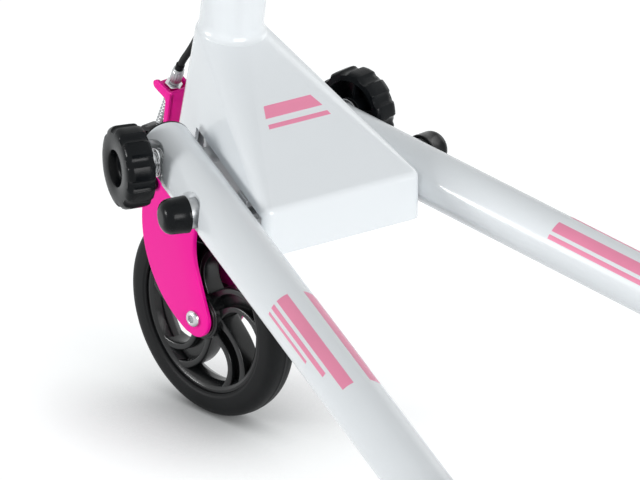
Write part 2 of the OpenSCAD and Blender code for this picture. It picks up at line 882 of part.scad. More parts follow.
module blade() {
    difference() {
        union() {
            intersection() {
                translate([0, bow_y, bow_z]) bar_x(2 * bow_r, blade_in, blade_out);
                translate([0, -bow_r, 0]) cube([blade_out, bow_r + crown_rear, crown_top]);
            }
            intersection() {
                translate([0, bow_y, bow_z]) bar_x(2 * bow_r, blade_in, blade_out);
                translate([0, -bow_r, -bow_r]) cube([blade_out, bow_r + fork_trail, bow_r]);
            }
            translate([0, fork_trail, 0]) bar_x(2 * blade_end_r, blade_in, blade_out);
        }
        translate([0, hollow_y, hollow_z]) bar_x(2 * hollow_r, 0, 2 * blade_out);
        translate([0, fork_trail, 0]) bar_x(axle_d, 0, 2 * blade_out);
        translate([0, -pivot_y, pivot_z]) bar_x(pivot_d, 0, 2 * blade_out);
    }
}

module fork_blade_left() { color("DeepPink") on_fork() blade(); }

module fork_blade_right() { color("DeepPink") on_fork() mirrored() blade(); }

module fork_crown() {
    color("DeepPink") on_fork() block(fork_gap, -crown_front, crown_rear, crown_top - crown_t, crown_top);
}

module steering_column() {
    color("White") on_fork() tube(column_d, column_d - 2 * column_wall, column_low, column_top);
}

module headset_nut() {
    color("Silver") on_fork()
        tube(head_d, column_d, head_top + cup_flange + clear, head_top + cup_flange + clear + nut_h);
}

module stem_collar() {
    color("DimGray") on_fork() difference() {
        union() {
            bar_z(column_d + 2 * collar_wall, column_top - collar_h, column_top);
            block(collar_ears, 0, collar_ear, column_top - collar_h, column_top);
        }
        bar_z(column_d, 0, bar_up);
        block(collar_slot, 0, collar_ear + over, 0, bar_up);
        for (share = collar_bolt_shares) translate([0, collar_bolt_y, column_top - collar_h * share])
            bar_x(collar_bolt_d, -collar_ear, collar_ear);
    }
}

module collar_bolts() {
    color("Silver") on_fork() for (share = collar_bolt_shares)
        translate([0, collar_bolt_y, column_top - collar_h * share]) {
            bar_x(collar_bolt_d, -collar_ears / 2, collar_ears / 2);
            both() translate([collar_ears / 2, 0, 0]) round_head();
        }
}

module front_axle() {
    color("Silver") on_axle() {
        bar_x(axle_d, -blade_out, blade_out);
        both() translate([blade_out, 0, 0]) round_head();
    }
}

// Brake

module brake_bracket() {
    plate_y = -crown_front;
    color("DeepPink") on_fork() {
        block(bracket_w, plate_y, plate_y + bracket_t, crown_top, crown_top + bracket_h);
        both() translate([bracket_w / 2 - bracket_t / 2, 0, 0]) {
            block(bracket_t, -pivot_y, plate_y + bracket_t, crown_top, crown_top + bracket_h);
            block(bracket_t, plate_y - flange_depth, plate_y + bracket_t,
                crown_top + flange_step, crown_top + bracket_h);
            strip(bracket_t, ear_w - bracket_t, plate_y, ear_z - ear_w, -ear_y, ear_z);
            translate([0, -ear_y, ear_z]) bar_x(ear_w, -bracket_t / 2, bracket_t / 2);
        }
        difference() {
            translate([0, -anchor_y, anchor_z]) rotate([-wire_tilt, 0, 0])
                block(bracket_w - 2 * bracket_t, -barrel_d, barrel_d, stop_up, stop_up + stop_t);
            translate([0, -anchor_y, anchor_z]) rotate([-wire_tilt, 0, 0])
                bar_z(barrel_d - 2 * bracket_t, 0, stop_len);
        }
    }
}

module adjuster_nut() {
    color("Silver") on_wire() difference() {
        translate([0, 0, stop_up + stop_t]) cylinder(d = barrel_key / cos(30), h = barrel_nut_h, $fn = 6);
        bar_z(wire_d + 2 * clear, 0, stop_len);
    }
}

module barrel_adjuster() {
    color("Silver") on_wire() tube(barrel_d, wire_d + 2 * clear, stop_up + stop_t + barrel_nut_h, stop_len);
}

module brake_wire() { color("Silver") on_wire() bar_z(wire_d, brake_t, stop_len); }

module brake_spring() {
    color("Silver") on_wire() coil(spring_d, spring_wire, brake_t, stop_up, spring_turns);
}

module brake_pivot() {
    color("Silver") on_fork() translate([0, -pivot_y, pivot_z]) {
        bar_x(pivot_d, -blade_out, blade_out);
        both() translate([blade_out, 0, 0]) bar_x(bolt_head_d, 0, bracket_t);
    }
}

// cable from the adjuster up the front of the column and across to the lever
module brake_cable() {
    color("DimGray") on_fork() {
        translate([0, sway_y, sway_z]) rotate([90, 0, 90]) rotate([0, 0, 180 - cable_lean])
            rotate_extrude(angle = cable_lean - wire_tilt) translate([cable_sway, 0]) circle(d = cable_d);
        translate([0, bend_y, bend_z]) rotate([90, 0, 90]) rotate([0, 0, -cable_lean])
            rotate_extrude(angle = cable_lean + run_tilt) translate([cable_bend, 0]) circle(d = cable_d);
        translate([0, bend_y, bend_z]) rotate([run_tilt, 0, 0]) translate([0, cable_bend, 0]) {
            bar_z(cable_d, 0, run_len - cable_turn);
            translate([-cable_turn, 0, run_len - cable_turn]) rotate([90, 0, 0])
                rotate_extrude(angle = 90) translate([cable_turn, 0]) circle(d = cable_d);
            translate([0, 0, run_len]) bar_x(cable_d, -perch_x + perch_w / 2, -cable_turn);
        }
    }
}

module brake_arm() {
    color("DimGray") on_fork() difference() {
        union() {
            translate([0, -pivot_y, pivot_z]) bar_x(brake_hub_d, -brake_w / 2, brake_w / 2);
            strip(brake_w, brake_t, -pivot_y, pivot_z, -anchor_y, anchor_z);
            strip(brake_w, brake_t, -pivot_y, pivot_z, -pivot_y + pad_len + brake_hub_d, pivot_z);
            translate([0, -anchor_y, anchor_z]) bar_x(brake_t + brake_t, -brake_w / 2, brake_w / 2);
        }
        translate([0, -pivot_y, pivot_z]) bar_x(pivot_d + 2 * fit, -brake_w, brake_w);
    }
}

module brake_pad() {
    color("Gray") on_fork() difference() {
        block(pad_w, -pivot_y + brake_hub_d, -pivot_y + brake_hub_d + pad_len, 0, pivot_z - brake_t / 2);
        translate([0, fork_trail, 0]) bar_x(wheel_d + 2 * pad_gap, -pad_w, pad_w);
        block(pad_w * 2, -bow_r, bow_r, -over, pivot_z - brake_t - pad_w);
    }
}

module cable_anchor() {
    color("Silver") on_fork() translate([0, -anchor_y, anchor_z]) both()
        translate([brake_w / 2, 0, 0]) round_head();
}

// Handlebar

module t_bar() {
    color("White") on_fork() difference() {
        union() {
            bar_z(column_d - 2 * column_wall, column_top - stem_in, bar_up);
            translate([0, 0, bar_up]) bar_x(bar_d, -bar_len / 2 + grip_end, bar_len / 2 - grip_end);
        }
        bar_z(column_d - 2 * column_wall - 2 * bar_wall, 0, bar_up - bar_d / 2);
        translate([0, 0, bar_up]) bar_x(bar_d - 2 * bar_wall, -bar_len, bar_len);
    }
}

module grip() {
    translate([0, 0, bar_up]) difference() {
        bar_x(grip_d, bar_len / 2 - grip_len, bar_len / 2);
        bar_x(bar_d, 0, bar_len / 2 - grip_end);
    }
}

module left_grip() { color("DimGray") on_fork() grip(); }

module right_grip() { color("DimGray") on_fork() mirrored() grip(); }

module lever_perch() {
    color("DimGray") on_fork() translate([-perch_x, 0, bar_up]) difference() {
        union() {
            bar_x(bar_d + 2 * perch_wall, -perch_w / 2, perch_w / 2);
            block(perch_w, -cable_out - cable_d, 0, -perch_h / 2, perch_h / 2);
        }
        bar_x(bar_d, -perch_w, perch_w);
        translate([-perch_wall / 2, 0, 0])
            block(perch_w, -perch_w - lever_out, lever_w / 2 + clear + perch_wall / 2 - lever_out,
                -lever_t / 2 - clear, lever_t / 2 + clear);
        translate([0, -lever_out, 0]) bar_z(lever_pin_d, -perch_h, perch_h);
    }
}

module lever_pin() {
    color("Silver") on_fork() translate([-perch_x, -lever_out, bar_up])
        bar_z(lever_pin_d, -perch_h / 2, perch_h / 2);
}

module brake_lever() {
    color("Silver") on_fork() translate([-perch_x, -lever_out, bar_up]) rotate([0, 0, 180 + lever_open])
        difference() {
            union() {
                bar_z(lever_w, -lever_t / 2, lever_t / 2);
                translate([0, -lever_w / 2, -lever_t / 2]) cube([lever_len, lever_w, lever_t]);
                translate([lever_len, 0, 0]) bar_z(lever_tip_d, -lever_t / 2, lever_t / 2);
            }
            bar_z(lever_pin_d + 2 * fit, -perch_h, perch_h);
        }
}

hood();
head_tube();
headset_cups();
side_plates();
pivot_bolts();
pivot_spacers();
knob_washers();
left_knob();
right_knob();
left_arm();
left_arm_plugs();
left_ferrule();
left_pull_cap();
left_pin();
left_deck();
left_deck_mat();
left_castor_housing();
left_castor_fork();
left_castor_axle();
left_castor_tyre();
left_castor_core();
right_arm();
right_arm_plugs();
right_ferrule();
right_pull_cap();
right_pin();
right_deck();
right_deck_mat();
right_castor_housing();
right_castor_fork();
right_castor_axle();
right_castor_tyre();
right_castor_core();
front_tyre();
front_rim();
front_bearings();
fork_blade_left();
fork_blade_right();
fork_crown();
steering_column();
headset_nut();
stem_collar();
collar_bolts();
front_axle();
brake_bracket();
adjuster_nut();
barrel_adjuster();
brake_wire();
brake_spring();
brake_pivot();
brake_cable();
brake_arm();
brake_pad();
cable_anchor();
t_bar();
left_grip();
right_grip();
lever_perch();
lever_pin();
brake_lever();
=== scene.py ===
import math
import bmesh
import bpy
from mathutils import Matrix, Vector


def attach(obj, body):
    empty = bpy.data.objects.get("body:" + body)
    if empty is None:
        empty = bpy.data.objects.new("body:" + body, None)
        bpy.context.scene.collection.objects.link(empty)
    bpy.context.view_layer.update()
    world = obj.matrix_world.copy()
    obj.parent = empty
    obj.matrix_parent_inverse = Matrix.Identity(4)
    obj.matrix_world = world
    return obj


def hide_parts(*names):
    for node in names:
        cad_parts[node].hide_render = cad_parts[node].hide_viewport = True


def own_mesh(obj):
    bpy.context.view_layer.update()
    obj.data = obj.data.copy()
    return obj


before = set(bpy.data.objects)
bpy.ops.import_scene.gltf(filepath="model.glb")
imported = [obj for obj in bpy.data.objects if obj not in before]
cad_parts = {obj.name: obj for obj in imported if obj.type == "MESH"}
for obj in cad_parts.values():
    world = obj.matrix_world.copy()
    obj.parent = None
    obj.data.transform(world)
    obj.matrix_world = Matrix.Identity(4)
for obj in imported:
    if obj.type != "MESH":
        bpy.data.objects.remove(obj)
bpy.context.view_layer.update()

# Places and main sizes, in millimetres and degrees, as in the part's source
MM = 0.001
WHEEL_R = 75
TYRE_BORE = 57
HEAD_TILT = 10.3
STEER_REST = 8.3
FORK_TRAIL = 14.2
FORK_IN = 13.7
FORK_OUT = 17.7
CROWN_LOW = 90
CROWN_TOP = 102
HEAD_R = 21.9
HEAD_BORE = 19.4
HEAD_LOW = 108
HEAD_TOP = 330
HOOD_CORNER = (56.5, 152.8, 214)
HOOD_CORNER_R = 7
NECK_BACK = 2
COLUMN_R = 17
COLUMN_BORE = 14.3
COLUMN_LOW = 102
COLUMN_TOP = 600
BAR_UP = 770
BAR_HALF = 210
BAR_R = 11.1
GRIP_LEN = 115
WIRE_TILT = 14.1
ANCHOR = (-58.8, 107.9)
PIVOT = (-40, 82)
STOP_UP = 38.4
STOP_LEN = 58.4
CABLE_R = 2.5
CABLE_SWAY = 60
CABLE_LEAN = 26
CABLE_BEND = 91
CABLE_TOP_BEND = 70
CABLE_OUT = 42.6
ARM_X = 60.3
ARM_Y = 49.2
ARM_Z = 218.5
ARM_SPLAY = 13
ARM_SLOPE = 7.8
ARM_R = 18.5
ARM_WALL = 2.5
ARM_LEN = 720
ARM_NOSE = 21
PLUNGER_S = 70.9
KNOB_IN = 25
KNOB_OUT = 44.6
DECK_S = 487
DECK_LEN = 225
CASTOR_S = 685
CASTOR_DOWN = 38
CASTOR_TILT = 15
CASTOR_TRAIL = 30
CASTOR_R = 40
CASTOR_BORE = 25
CASTOR_OUT = 18.5

slope = math.radians(ARM_SLOPE)
splay = math.radians(ARM_SPLAY)
tilt = math.radians(CASTOR_TILT)
CASTOR_X = ARM_X + CASTOR_S * math.cos(slope) * math.sin(splay)
CASTOR_Y = ARM_Y + CASTOR_S * math.cos(slope) * math.cos(splay)
CASTOR_Z = ARM_Z - CASTOR_S * math.sin(slope) - CASTOR_DOWN
CASTOR_DROP = (CASTOR_Z + CASTOR_TRAIL * math.sin(tilt) - CASTOR_R) / math.cos(tilt)
REAR_Y = CASTOR_Y + CASTOR_TRAIL * math.cos(tilt) + CASTOR_DROP * math.sin(tilt) + CASTOR_R
MID_Y = (REAR_Y - WHEEL_R) / 2


def shift(x, y, z):
    return Matrix.Translation((x * MM, y * MM, z * MM))


def turn(axis, degrees):
    return Matrix.Rotation(math.radians(degrees), 4, axis)


FRONT = shift(0, -MID_Y, 0)
HEAD = FRONT @ shift(0, 0, WHEEL_R) @ turn("X", -HEAD_TILT) @ shift(0, -FORK_TRAIL, 0)
FORK = HEAD @ turn("Z", STEER_REST)
AXLE = FORK @ shift(0, FORK_TRAIL, 0)
WIRE_IN_FORK = shift(0, *ANCHOR) @ turn("X", -WIRE_TILT)
WIRE = FORK @ WIRE_IN_FORK
BAR = FORK @ shift(0, 0, BAR_UP)
ARM = FRONT @ shift(ARM_X, ARM_Y, ARM_Z) @ turn("Z", -ARM_SPLAY) @ turn("X", -ARM_SLOPE)
CASTOR = FRONT @ shift(CASTOR_X, CASTOR_Y, CASTOR_Z) @ turn("X", CASTOR_TILT)
CASTOR_AXLE = CASTOR @ shift(0, CASTOR_TRAIL, -CASTOR_DROP)
MIRROR = Matrix.Scale(-1, 4, (1, 0, 0))
SIDES = (("left", Matrix.Identity(4)), ("right", MIRROR))

# Turn a plate that was made across x so that it lies across z or across y
ACROSS_Z = Matrix(((0, 1, 0, 0), (0, 0, 1, 0), (1, 0, 0, 0), (0, 0, 0, 1)))
ACROSS_Y = Matrix(((0, 1, 0, 0), (1, 0, 0, 0), (0, 0, 1, 0), (0, 0, 0, 1)))


# Outlines

def rounded(points, radius, steps=6):
    """Closed outline with rounded corners; radius is one number or one for each corner."""
    count = len(points)
    out = []
    for i, point in enumerate(points):
        r = radius[i] if isinstance(radius, (list, tuple)) else radius
        p = Vector(point)
        before = Vector(points[i - 1]) - p
        after = Vector(points[(i + 1) % count]) - p
        angle = before.angle(after)
        if r <= 0 or angle > math.pi - 0.02:
            out.append((p.x, p.y))
            continue
        reach = min(r / math.tan(angle / 2), 0.49 * before.length, 0.49 * after.length)
        r = reach * math.tan(angle / 2)
        inward = (before.normalized() + after.normalized()).normalized()
        middle = p + inward * (r / math.sin(angle / 2))
        start = p + before.normalized() * reach - middle
        end = p + after.normalized() * reach - middle
        first = math.atan2(start.y, start.x)
        sweep = (math.atan2(end.y, end.x) - first + math.pi) % (2 * math.pi) - math.pi
        for k in range(steps + 1):
            a = first + sweep * k / steps
            out.append((middle.x + r * math.cos(a), middle.y + r * math.sin(a)))
    return out


def arc(centre, r, first, last, steps):
    """Points on an arc, angles in degrees."""
    out = []
    for k in range(steps + 1):
        a = math.radians(first + (last - first) * k / steps)
        out.append((centre[0] + r * math.cos(a), centre[1] + r * math.sin(a)))
    return out


def ring(r, count):
    """Points on a circle round the origin."""
    angles = [2 * math.pi * k / count for k in range(count)]
    return [(r * math.cos(a), r * math.sin(a)) for a in angles]


def capsule(p, q, r, s, steps=16):
    """Outline round two circles and the straight lines that touch both."""
    dx = q[0] - p[0]
    dy = q[1] - p[1]
    along = math.degrees(math.atan2(dy, dx))
    lean = math.degrees(math.acos(max(-1, min(1, (r - s) / math.hypot(dx, dy)))))
    return (arc(q, s, along - lean, along + lean, steps)
            + arc(p, r, along + lean, along + 360 - lean, steps))


def ease(t):
    """Smooth step from 0 to 1."""
    t = min(1, max(0, t))
    return t * t * (3 - 2 * t)


def hexagon(angle):
    """Radius of a six-sided outline of half width 1 at an angle."""
    return 1 / math.cos((angle + math.pi / 6) % (math.pi / 3) - math.pi / 6)


# Solids, all in millimetres

def lathe(profile, axis="X", count=96, closed=True, form=None):
    """Turned solid from (along, radius) pairs; form may change a radius by index and angle."""
    bm = bmesh.new()
    rows = []
    for i, (along, radius) in enumerate(profile):
        row = []
        for k in range(count):
            a = 2 * math.pi * k / count
            r = radius if form is None else form(i, a, radius)
            c = r * math.cos(a)
            s = r * math.sin(a)
            spot = {"X": (along, c, s), "Y": (s, along, c), "Z": (c, s, along)}[axis]
            if radius > 1e-6 or k == 0:
                row.append(bm.verts.new(spot))
            else:
                row.append(row[0])
        rows.append(row)
    pairs = list(zip(rows, rows[1:]))
    if closed:
        pairs.append((rows[-1], rows[0]))
    for one, two in pairs:
        for k in range(count):
            n = (k + 1) % count
            corners = [one[k], one[n], two[n], two[k]]
            corners = [v for j, v in enumerate(corners) if v not in corners[:j]]
            if len(corners) > 2:
                bm.faces.new(corners)
    bmesh.ops.recalc_face_normals(bm, faces=bm.faces)
    return bm


def skin(bm, rows):
    """Joins rows of corners to a closed solid with a face at each end."""
    count = len(rows[0])
    for one, two in zip(rows, rows[1:]):
        for k in range(count):
            n = (k + 1) % count
            bm.faces.new((one[k], one[n], two[n], two[k]))
    bm.faces.new(rows[0][::-1])
    bm.faces.new(rows[-1])
    bmesh.ops.recalc_face_normals(bm, faces=bm.faces)
    return bm


def plate(outline, low, high, edge=0.8, steps=3):
    """Flat sheet across x with the outline in (y, z) and rounded rims."""
    count = len(outline)
    area = sum(outline[i - 1][0] * p[1] - p[0] * outline[i - 1][1] for i, p in enumerate(outline))
    if area < 0:
        outline = outline[::-1]
    normals = []
    for i in range(count):
        d = (Vector(outline[(i + 1) % count]) - Vector(outline[i - 1])).normalized()
        normals.append(Vector((-d.y, d.x)))
    rings = []
    for side in (0, 1):
        for k in range(steps + 1):
            a = math.pi / 2 * (k if side == 0 else steps - k) / steps
            inset = edge * (1 - math.sin(a))
            depth = edge * (1 - math.cos(a))
            rings.append((low + depth if side == 0 else high - depth, inset))
    bm = bmesh.new()
    rows = []
    for x, inset in rings:
        rows.append([bm.verts.new((x, p[0] + n.x * inset, p[1] + n.y * inset))
                     for p, n in zip(outline, normals)])
    return skin(bm, rows)


def slab(x, y, z, edge=0.6, steps=3):
    """Block between two limits on each axis with rounded edges."""
    bm = bmesh.new()
    bmesh.ops.create_cube(bm, size=1)
    for v in bm.verts:
        v.co.x = x[0] if v.co.x < 0 else x[1]
        v.co.y = y[0] if v.co.y < 0 else y[1]
        v.co.z = z[0] if v.co.z < 0 else z[1]
    bmesh.ops.bevel(bm, geom=list(bm.edges), offset=edge, segments=steps, profile=0.5, affect="EDGES")
    return bm


def rod(points, radius, count=12):
    """Round rod along a line of points."""
    line = [Vector(p) for p in points]
    bm = bmesh.new()
    rows = []
    side = None
    for i, p in enumerate(line):
        ahead = line[min(i + 1, len(line) - 1)] - line[max(i - 1, 0)]
        ahead.normalize()
        if side is None:
            side = ahead.orthogonal().normalized()
        side = (side - ahead * side.dot(ahead)).normalized()
        up = ahead.cross(side)
        rows.append([bm.verts.new(p + (side * c + up * s) * radius) for c, s in ring(1, count)])
    return skin(bm, rows)


def put(bm, matrix):
    """Moves a solid; the matrix is in metres."""
    scaled = matrix.copy()
    scaled.translation = matrix.translation / MM
    bm.transform(scaled)
    if matrix.to_3x3().determinant() < 0:
        bmesh.ops.reverse_faces(bm, faces=bm.faces)
    return bm


def facing_left(bm):
    """The same solid on the other side of the middle plane."""
    bm.transform(MIRROR)
    bmesh.ops.reverse_faces(bm, faces=bm.faces)
    return bm


# Objects, in metres

def linked(name, data):
    """New object in the scene."""
    obj = bpy.data.objects.new(name, data)
    bpy.context.scene.collection.objects.link(obj)
    return obj


def placed(name, parts, place):
    """One object from several solids, with its mesh moved to its place."""
    whole = bmesh.new()
    for bm in parts:
        step = bpy.data.meshes.new("step")
        bm.to_mesh(step)
        bm.free()
        whole.from_mesh(step)
        bpy.data.meshes.remove(step)
    whole.transform(Matrix.Scale(MM, 4))
    mesh = bpy.data.meshes.new(name)
    whole.to_mesh(mesh)
    whole.free()
    mesh.transform(place)
    if place.to_3x3().determinant() < 0:
        mesh.flip_normals()
    return linked(name, mesh)


def finish_piece(obj, body, look, nodes=(), sharp=32):
    """Shades and colours one piece and lets it ride on a body in place of CAD nodes."""
    obj.data.shade_smooth()
    obj.data.set_sharp_from_angle(angle=math.radians(sharp))
    obj.data.materials.clear()
    obj.data.materials.append(look["material"])
    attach(obj, body)
    if nodes:
        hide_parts(*nodes)


def add(name, parts, place, body, look, nodes=(), sharp=32):
    """Makes one piece from solids."""
    obj = placed(name, parts, place)
    finish_piece(obj, body, look, nodes, sharp)
    return obj


def dress(look, *nodes):
    """Gives CAD nodes a finished material."""
    for node in nodes:
        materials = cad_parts[node].data.materials
        materials.clear()
        materials.append(look["material"])


# Materials

def finish_of(name, slot, colour, rough, metal=0.0, vary=0.04, scale=60.0, bump=0.05, grain=900.0,
              coat=0.0, specular=0.5):
    """Surface with cloudy colour, uneven gloss and a fine bump, all worked out from object coordinates."""
    material = bpy.data.materials.new(name)
    material.use_nodes = True
    nodes = material.node_tree.nodes
    links = material.node_tree.links
    shader = nodes["Principled BSDF"]
    shader.inputs["Metallic"].default_value = metal
    shader.inputs["Specular IOR Level"].default_value = specular
    shader.inputs["Coat Weight"].default_value = coat
    shader.inputs["Coat Roughness"].default_value = 0.08
    where = nodes.new("ShaderNodeTexCoord")
    cloud = nodes.new("ShaderNodeTexNoise")
    cloud.inputs["Scale"].default_value = scale
    cloud.inputs["Detail"].default_value = 5
    links.new(where.outputs["Object"], cloud.inputs["Vector"])
    ramp = nodes.new("ShaderNodeValToRGB")
    dark, light = ramp.color_ramp.elements
    dark.position = 0.3
    dark.color = [max(0, c * (1 - vary)) for c in colour] + [1]
    light.position = 0.7
    light.color = [min(1, c * (1 + vary)) for c in colour] + [1]
    links.new(cloud.outputs["Fac"], ramp.inputs["Fac"])
    links.new(ramp.outputs["Color"], shader.inputs["Base Color"])
    gloss = nodes.new("ShaderNodeMapRange")
    gloss.inputs["To Min"].default_value = rough * 0.85
    gloss.inputs["To Max"].default_value = rough * 1.15
    links.new(cloud.outputs["Fac"], gloss.inputs["Value"])
    links.new(gloss.outputs["Result"], shader.inputs["Roughness"])
    fine = nodes.new("ShaderNodeTexNoise")
    fine.inputs["Scale"].default_value = grain
    fine.inputs["Detail"].default_value = 2
    links.new(where.outputs["Object"], fine.inputs["Vector"])
    relief = nodes.new("ShaderNodeBump")
    relief.inputs["Strength"].default_value = bump
    relief.inputs["Distance"].default_value = 0.0004
    links.new(fine.outputs["Fac"], relief.inputs["Height"])
    links.new(relief.outputs["Normal"], shader.inputs["Normal"])
    return {"material": material, "slot": slot}


WHITE = finish_of("white_powder_coat", "white_paint", (0.80, 0.83, 0.85), 0.26, vary=0.012, scale=9,
                  bump=0.10, grain=420, coat=0.25)
# Mid grey for the white-painted side plates and pivot spacers inside the hood's side recesses: painted
# shade for the dark recess, not the parts' own colour
RECESS_SHADE_GREY = finish_of("recess_painted_shade", "white_paint", (0.55, 0.56, 0.57), 0.5, vary=0.04, scale=30,
                 bump=0.10, grain=700)
PINK = finish_of("hot_pink_paint", "pink_paint", (1.0, 0.004, 0.36), 0.34, vary=0.02, scale=12,
                 bump=0.08, grain=500, specular=0.22)
DECAL = finish_of("pink_film", "pink_paint", (0.86, 0.27, 0.42), 0.35, vary=0.03, scale=30, bump=0.03)
BLACK = finish_of("black_plastic", "black_plastic", (0.005, 0.006, 0.007), 0.22, vary=0.25, scale=40,
                  bump=0.10, grain=1400, specular=0.11)
RIM = finish_of("black_nylon", "black_plastic", (0.005, 0.0055, 0.006), 0.25, vary=0.25, scale=40,
                bump=0.08, grain=1100, specular=0.45)
TYRE = finish_of("tyre_rubber", "tyre_rubber", (0.006, 0.0065, 0.007), 0.48, vary=0.25, scale=35,
                 bump=0.18, grain=1300, specular=0.14)
RUBBER = finish_of("soft_rubber", "soft_black", (0.009, 0.0095, 0.010), 0.62, vary=0.3, scale=45,
                   bump=0.25, grain=1500, specular=0.25)
ALLOY = finish_of("black_alloy", "black_metal", (0.012, 0.0125, 0.014), 0.38, metal=0.2, vary=0.25,
                  scale=50, bump=0.10, grain=1200, specular=0.25)
STEEL = finish_of("zinc_steel", "steel", (0.66, 0.67, 0.68), 0.24, metal=1.0, vary=0.10, scale=90,
                  bump=0.06, grain=900)
DULL = finish_of("dull_zinc", "steel", (0.42, 0.43, 0.44), 0.4, metal=1.0, vary=0.10, scale=90,
                 bump=0.10, grain=900)
CORE = finish_of("white_plastic", "white_plastic", (0.78, 0.80, 0.82), 0.35, vary=0.02, scale=20,
                 bump=0.08, grain=900)


# Small hardware

def round_bolt(r=5.5):
    """Round bolt head along +x from x = 0 with a six-sided socket."""
    height = 3.4
    key = 2.6
    profile = [(0, 0), (0, r), (height * 0.22, r)]
    for k in range(1, 9):
        t = math.pi / 2 * k / 8
        profile.append((height * (0.22 + 0.78 * math.sin(t)), r * (0.52 + 0.48 * math.cos(t))))
    first = len(profile)
    profile += [(height, key * 1.25), (height * 0.92, key), (height * 0.3, key), (height * 0.22, 0)]

    def form(i, a, radius):
        return radius * hexagon(a) if i > first and radius > 0 else radius

    return lathe(profile, count=48, closed=False, form=form)


def axle_form(half, head_r=5.5):
    """Axle along x with a round bolt head at each end."""
    parts = [lathe([(-half, 0), (-half, 4), (half, 4), (half, 0)], count=48, closed=False)]
    parts.append(put(round_bolt(head_r), shift(half, 0, 0)))
    parts.append(facing_left(put(round_bolt(head_r), shift(half, 0, 0))))
    return parts


def hex_nut(flats, low, high, bore):
    """Six-sided nut along z with turned corners."""
    r = flats / 2
    chamfer = (high - low) * 0.16
    profile = [(low, bore), (low, r * 0.93), (low + chamfer, r)]
    profile += [(high - chamfer, r), (high, r * 0.93), (high, bore)]

    def form(i, a, radius):
        if i in (2, 3):
            return radius * hexagon(a)
        if i in (1, 4):
            return min(radius * 1.06, radius * hexagon(a))
        return radius

    return lathe(profile, axis="Z", count=72, form=form)


def washer(r, bore, low, high, axis="X", edge=0.35):
    return lathe(rounded([(low, bore), (low, r), (high, r), (high, bore)], edge, 3), axis=axis, count=72)


# Front wheel

def tyre_form(r, bore, half):
    """Smooth tyre with a rounded tread, a bead line and a mould seam."""
    wall = bore + (r - bore) * 0.42
    half_side = [(half * 0.9, bore), (half * 0.95, bore + 0.6), (half * 0.95, bore + 1.7)]
    half_side += [(half * 0.985, bore + 2.2), (half, bore + 3.4)]
    for k in range(15):
        t = math.pi / 2 * k / 15
        half_side.append((half * math.cos(t) ** 0.72, wall + (r - wall - 0.15) * math.sin(t) ** 0.72))
    half_side += [(0.5, r - 0.15), (0.3, r), (0, r)]
    outline = half_side + [(-x, y) for x, y in half_side[-2::-1]]
    return lathe(outline, count=160)


add("front_tyre_form", [tyre_form(WHEEL_R, TYRE_BORE, 11.75)], AXLE, "front_wheel", TYRE,
    ["front_tyre"], sharp=40)

RIB_START = 14
RIB_REACH = 38.5
RIB_END = 54.5
RIB_STEPS = 14
RIB_SWAY = 24


def rib(start, offset, x_half, width):
    """One curved spoke rib with rounded long edges, from inside the hub to inside the rim."""

    def spot(t):
        r = RIB_START + RIB_REACH * t
        a = math.radians(start + RIB_SWAY * (1 - t * t))
        return Vector((0, r * math.cos(a), r * math.sin(a)))

    def edge(t):
        ahead = (spot(t + 0.01) - spot(t - 0.01)).normalized()
        return spot(t) + Vector((0, -ahead.z, ahead.y)) * offset

    last = 0.8
    while edge(last).length < RIB_END:
        last += 0.005
    line = [spot(last * k / RIB_STEPS) for k in range(RIB_STEPS + 1)]
    bm = bmesh.new()
    rows = []
    for i, p in enumerate(line):
        ahead = (line[min(i + 1, RIB_STEPS)] - line[max(i - 1, 0)]).normalized()
        side = Vector((0, -ahead.z, ahead.y))
        flare = 1 + 0.55 * abs(2 * i / RIB_STEPS - 1) ** 3
        half = x_half * (0.86 + 0.14 * flare)
        section = rounded([(-half, -width * flare / 2), (half, -width * flare / 2),
                           (half, width * flare / 2), (-half, width * flare / 2)], 1.3, 4)
        rows.append([bm.verts.new(p + Vector((x, 0, 0)) + side * (offset + y)) for x, y in section])
    return skin(bm, rows)


rim_outline = rounded([(-9.5, TYRE_BORE), (-9.5, 54.6), (-8.2, 52.6), (-3, 49.6),
                       (3, 49.6), (8.2, 52.6), (9.5, 54.6), (9.5, TYRE_BORE)],
                      [0.5, 0.8, 2, 4, 4, 2, 0.8, 0.5], 4)
hub_outline = rounded([(-13.2, 9), (-13.2, 15.4), (-12.2, 15.4), (-12.2, 17),
                       (12.2, 17), (12.2, 15.4), (13.2, 15.4), (13.2, 9)],
                      [0.4, 0.5, 0.2, 1, 1, 0.2, 0.5, 0.4], 3)
rim_parts = [lathe(rim_outline, count=160), lathe(hub_outline, count=96)]
for i in range(5):
    angle = 98 + 72 * i
    rim_parts.append(rib(angle, -6.5, 7.5, 4.6))
    rim_parts.append(rib(angle, 6.5, 7.5, 4.6))
    rim_parts.append(rib(angle, 0, 2.0, 9.5))
add("front_rim_form", rim_parts, AXLE, "front_wheel", RIM, ["front_rim"])

bearing_parts = []
for low, high in ((-13.2, -6.2), (6.2, 13.2)):
    bearing_parts.append(washer(11, 9.2, low, high, edge=0.4))
    bearing_parts.append(washer(6, 4.05, low, high, edge=0.4))
add("front_bearings_form", bearing_parts, AXLE, "front_wheel", STEEL, ["front_bearings"])
shields = [washer(9.4, 5.8, low, high, edge=0.2) for low, high in ((11.6, 12.4), (-12.4, -11.6))]
add("bearing_shields", shields, AXLE, "front_wheel", BLACK)
add("front_axle_form", axle_form(FORK_OUT, 6.1), AXLE, "steering", STEEL, ["front_axle"])


# Fork

def circle_cross(centre, r, line_y=None, line_z=None, pick=1):
    """Where a circle crosses an upright or level line."""
    if line_y is not None:
        return (line_y, centre[1] + pick * math.sqrt(r * r - (line_y - centre[0]) ** 2))
    return (centre[0] + pick * math.sqrt(r * r - (line_z - centre[1]) ** 2), line_z)


def angle_to(centre, point):
    return math.degrees(math.atan2(point[1] - centre[1], point[0] - centre[0]))


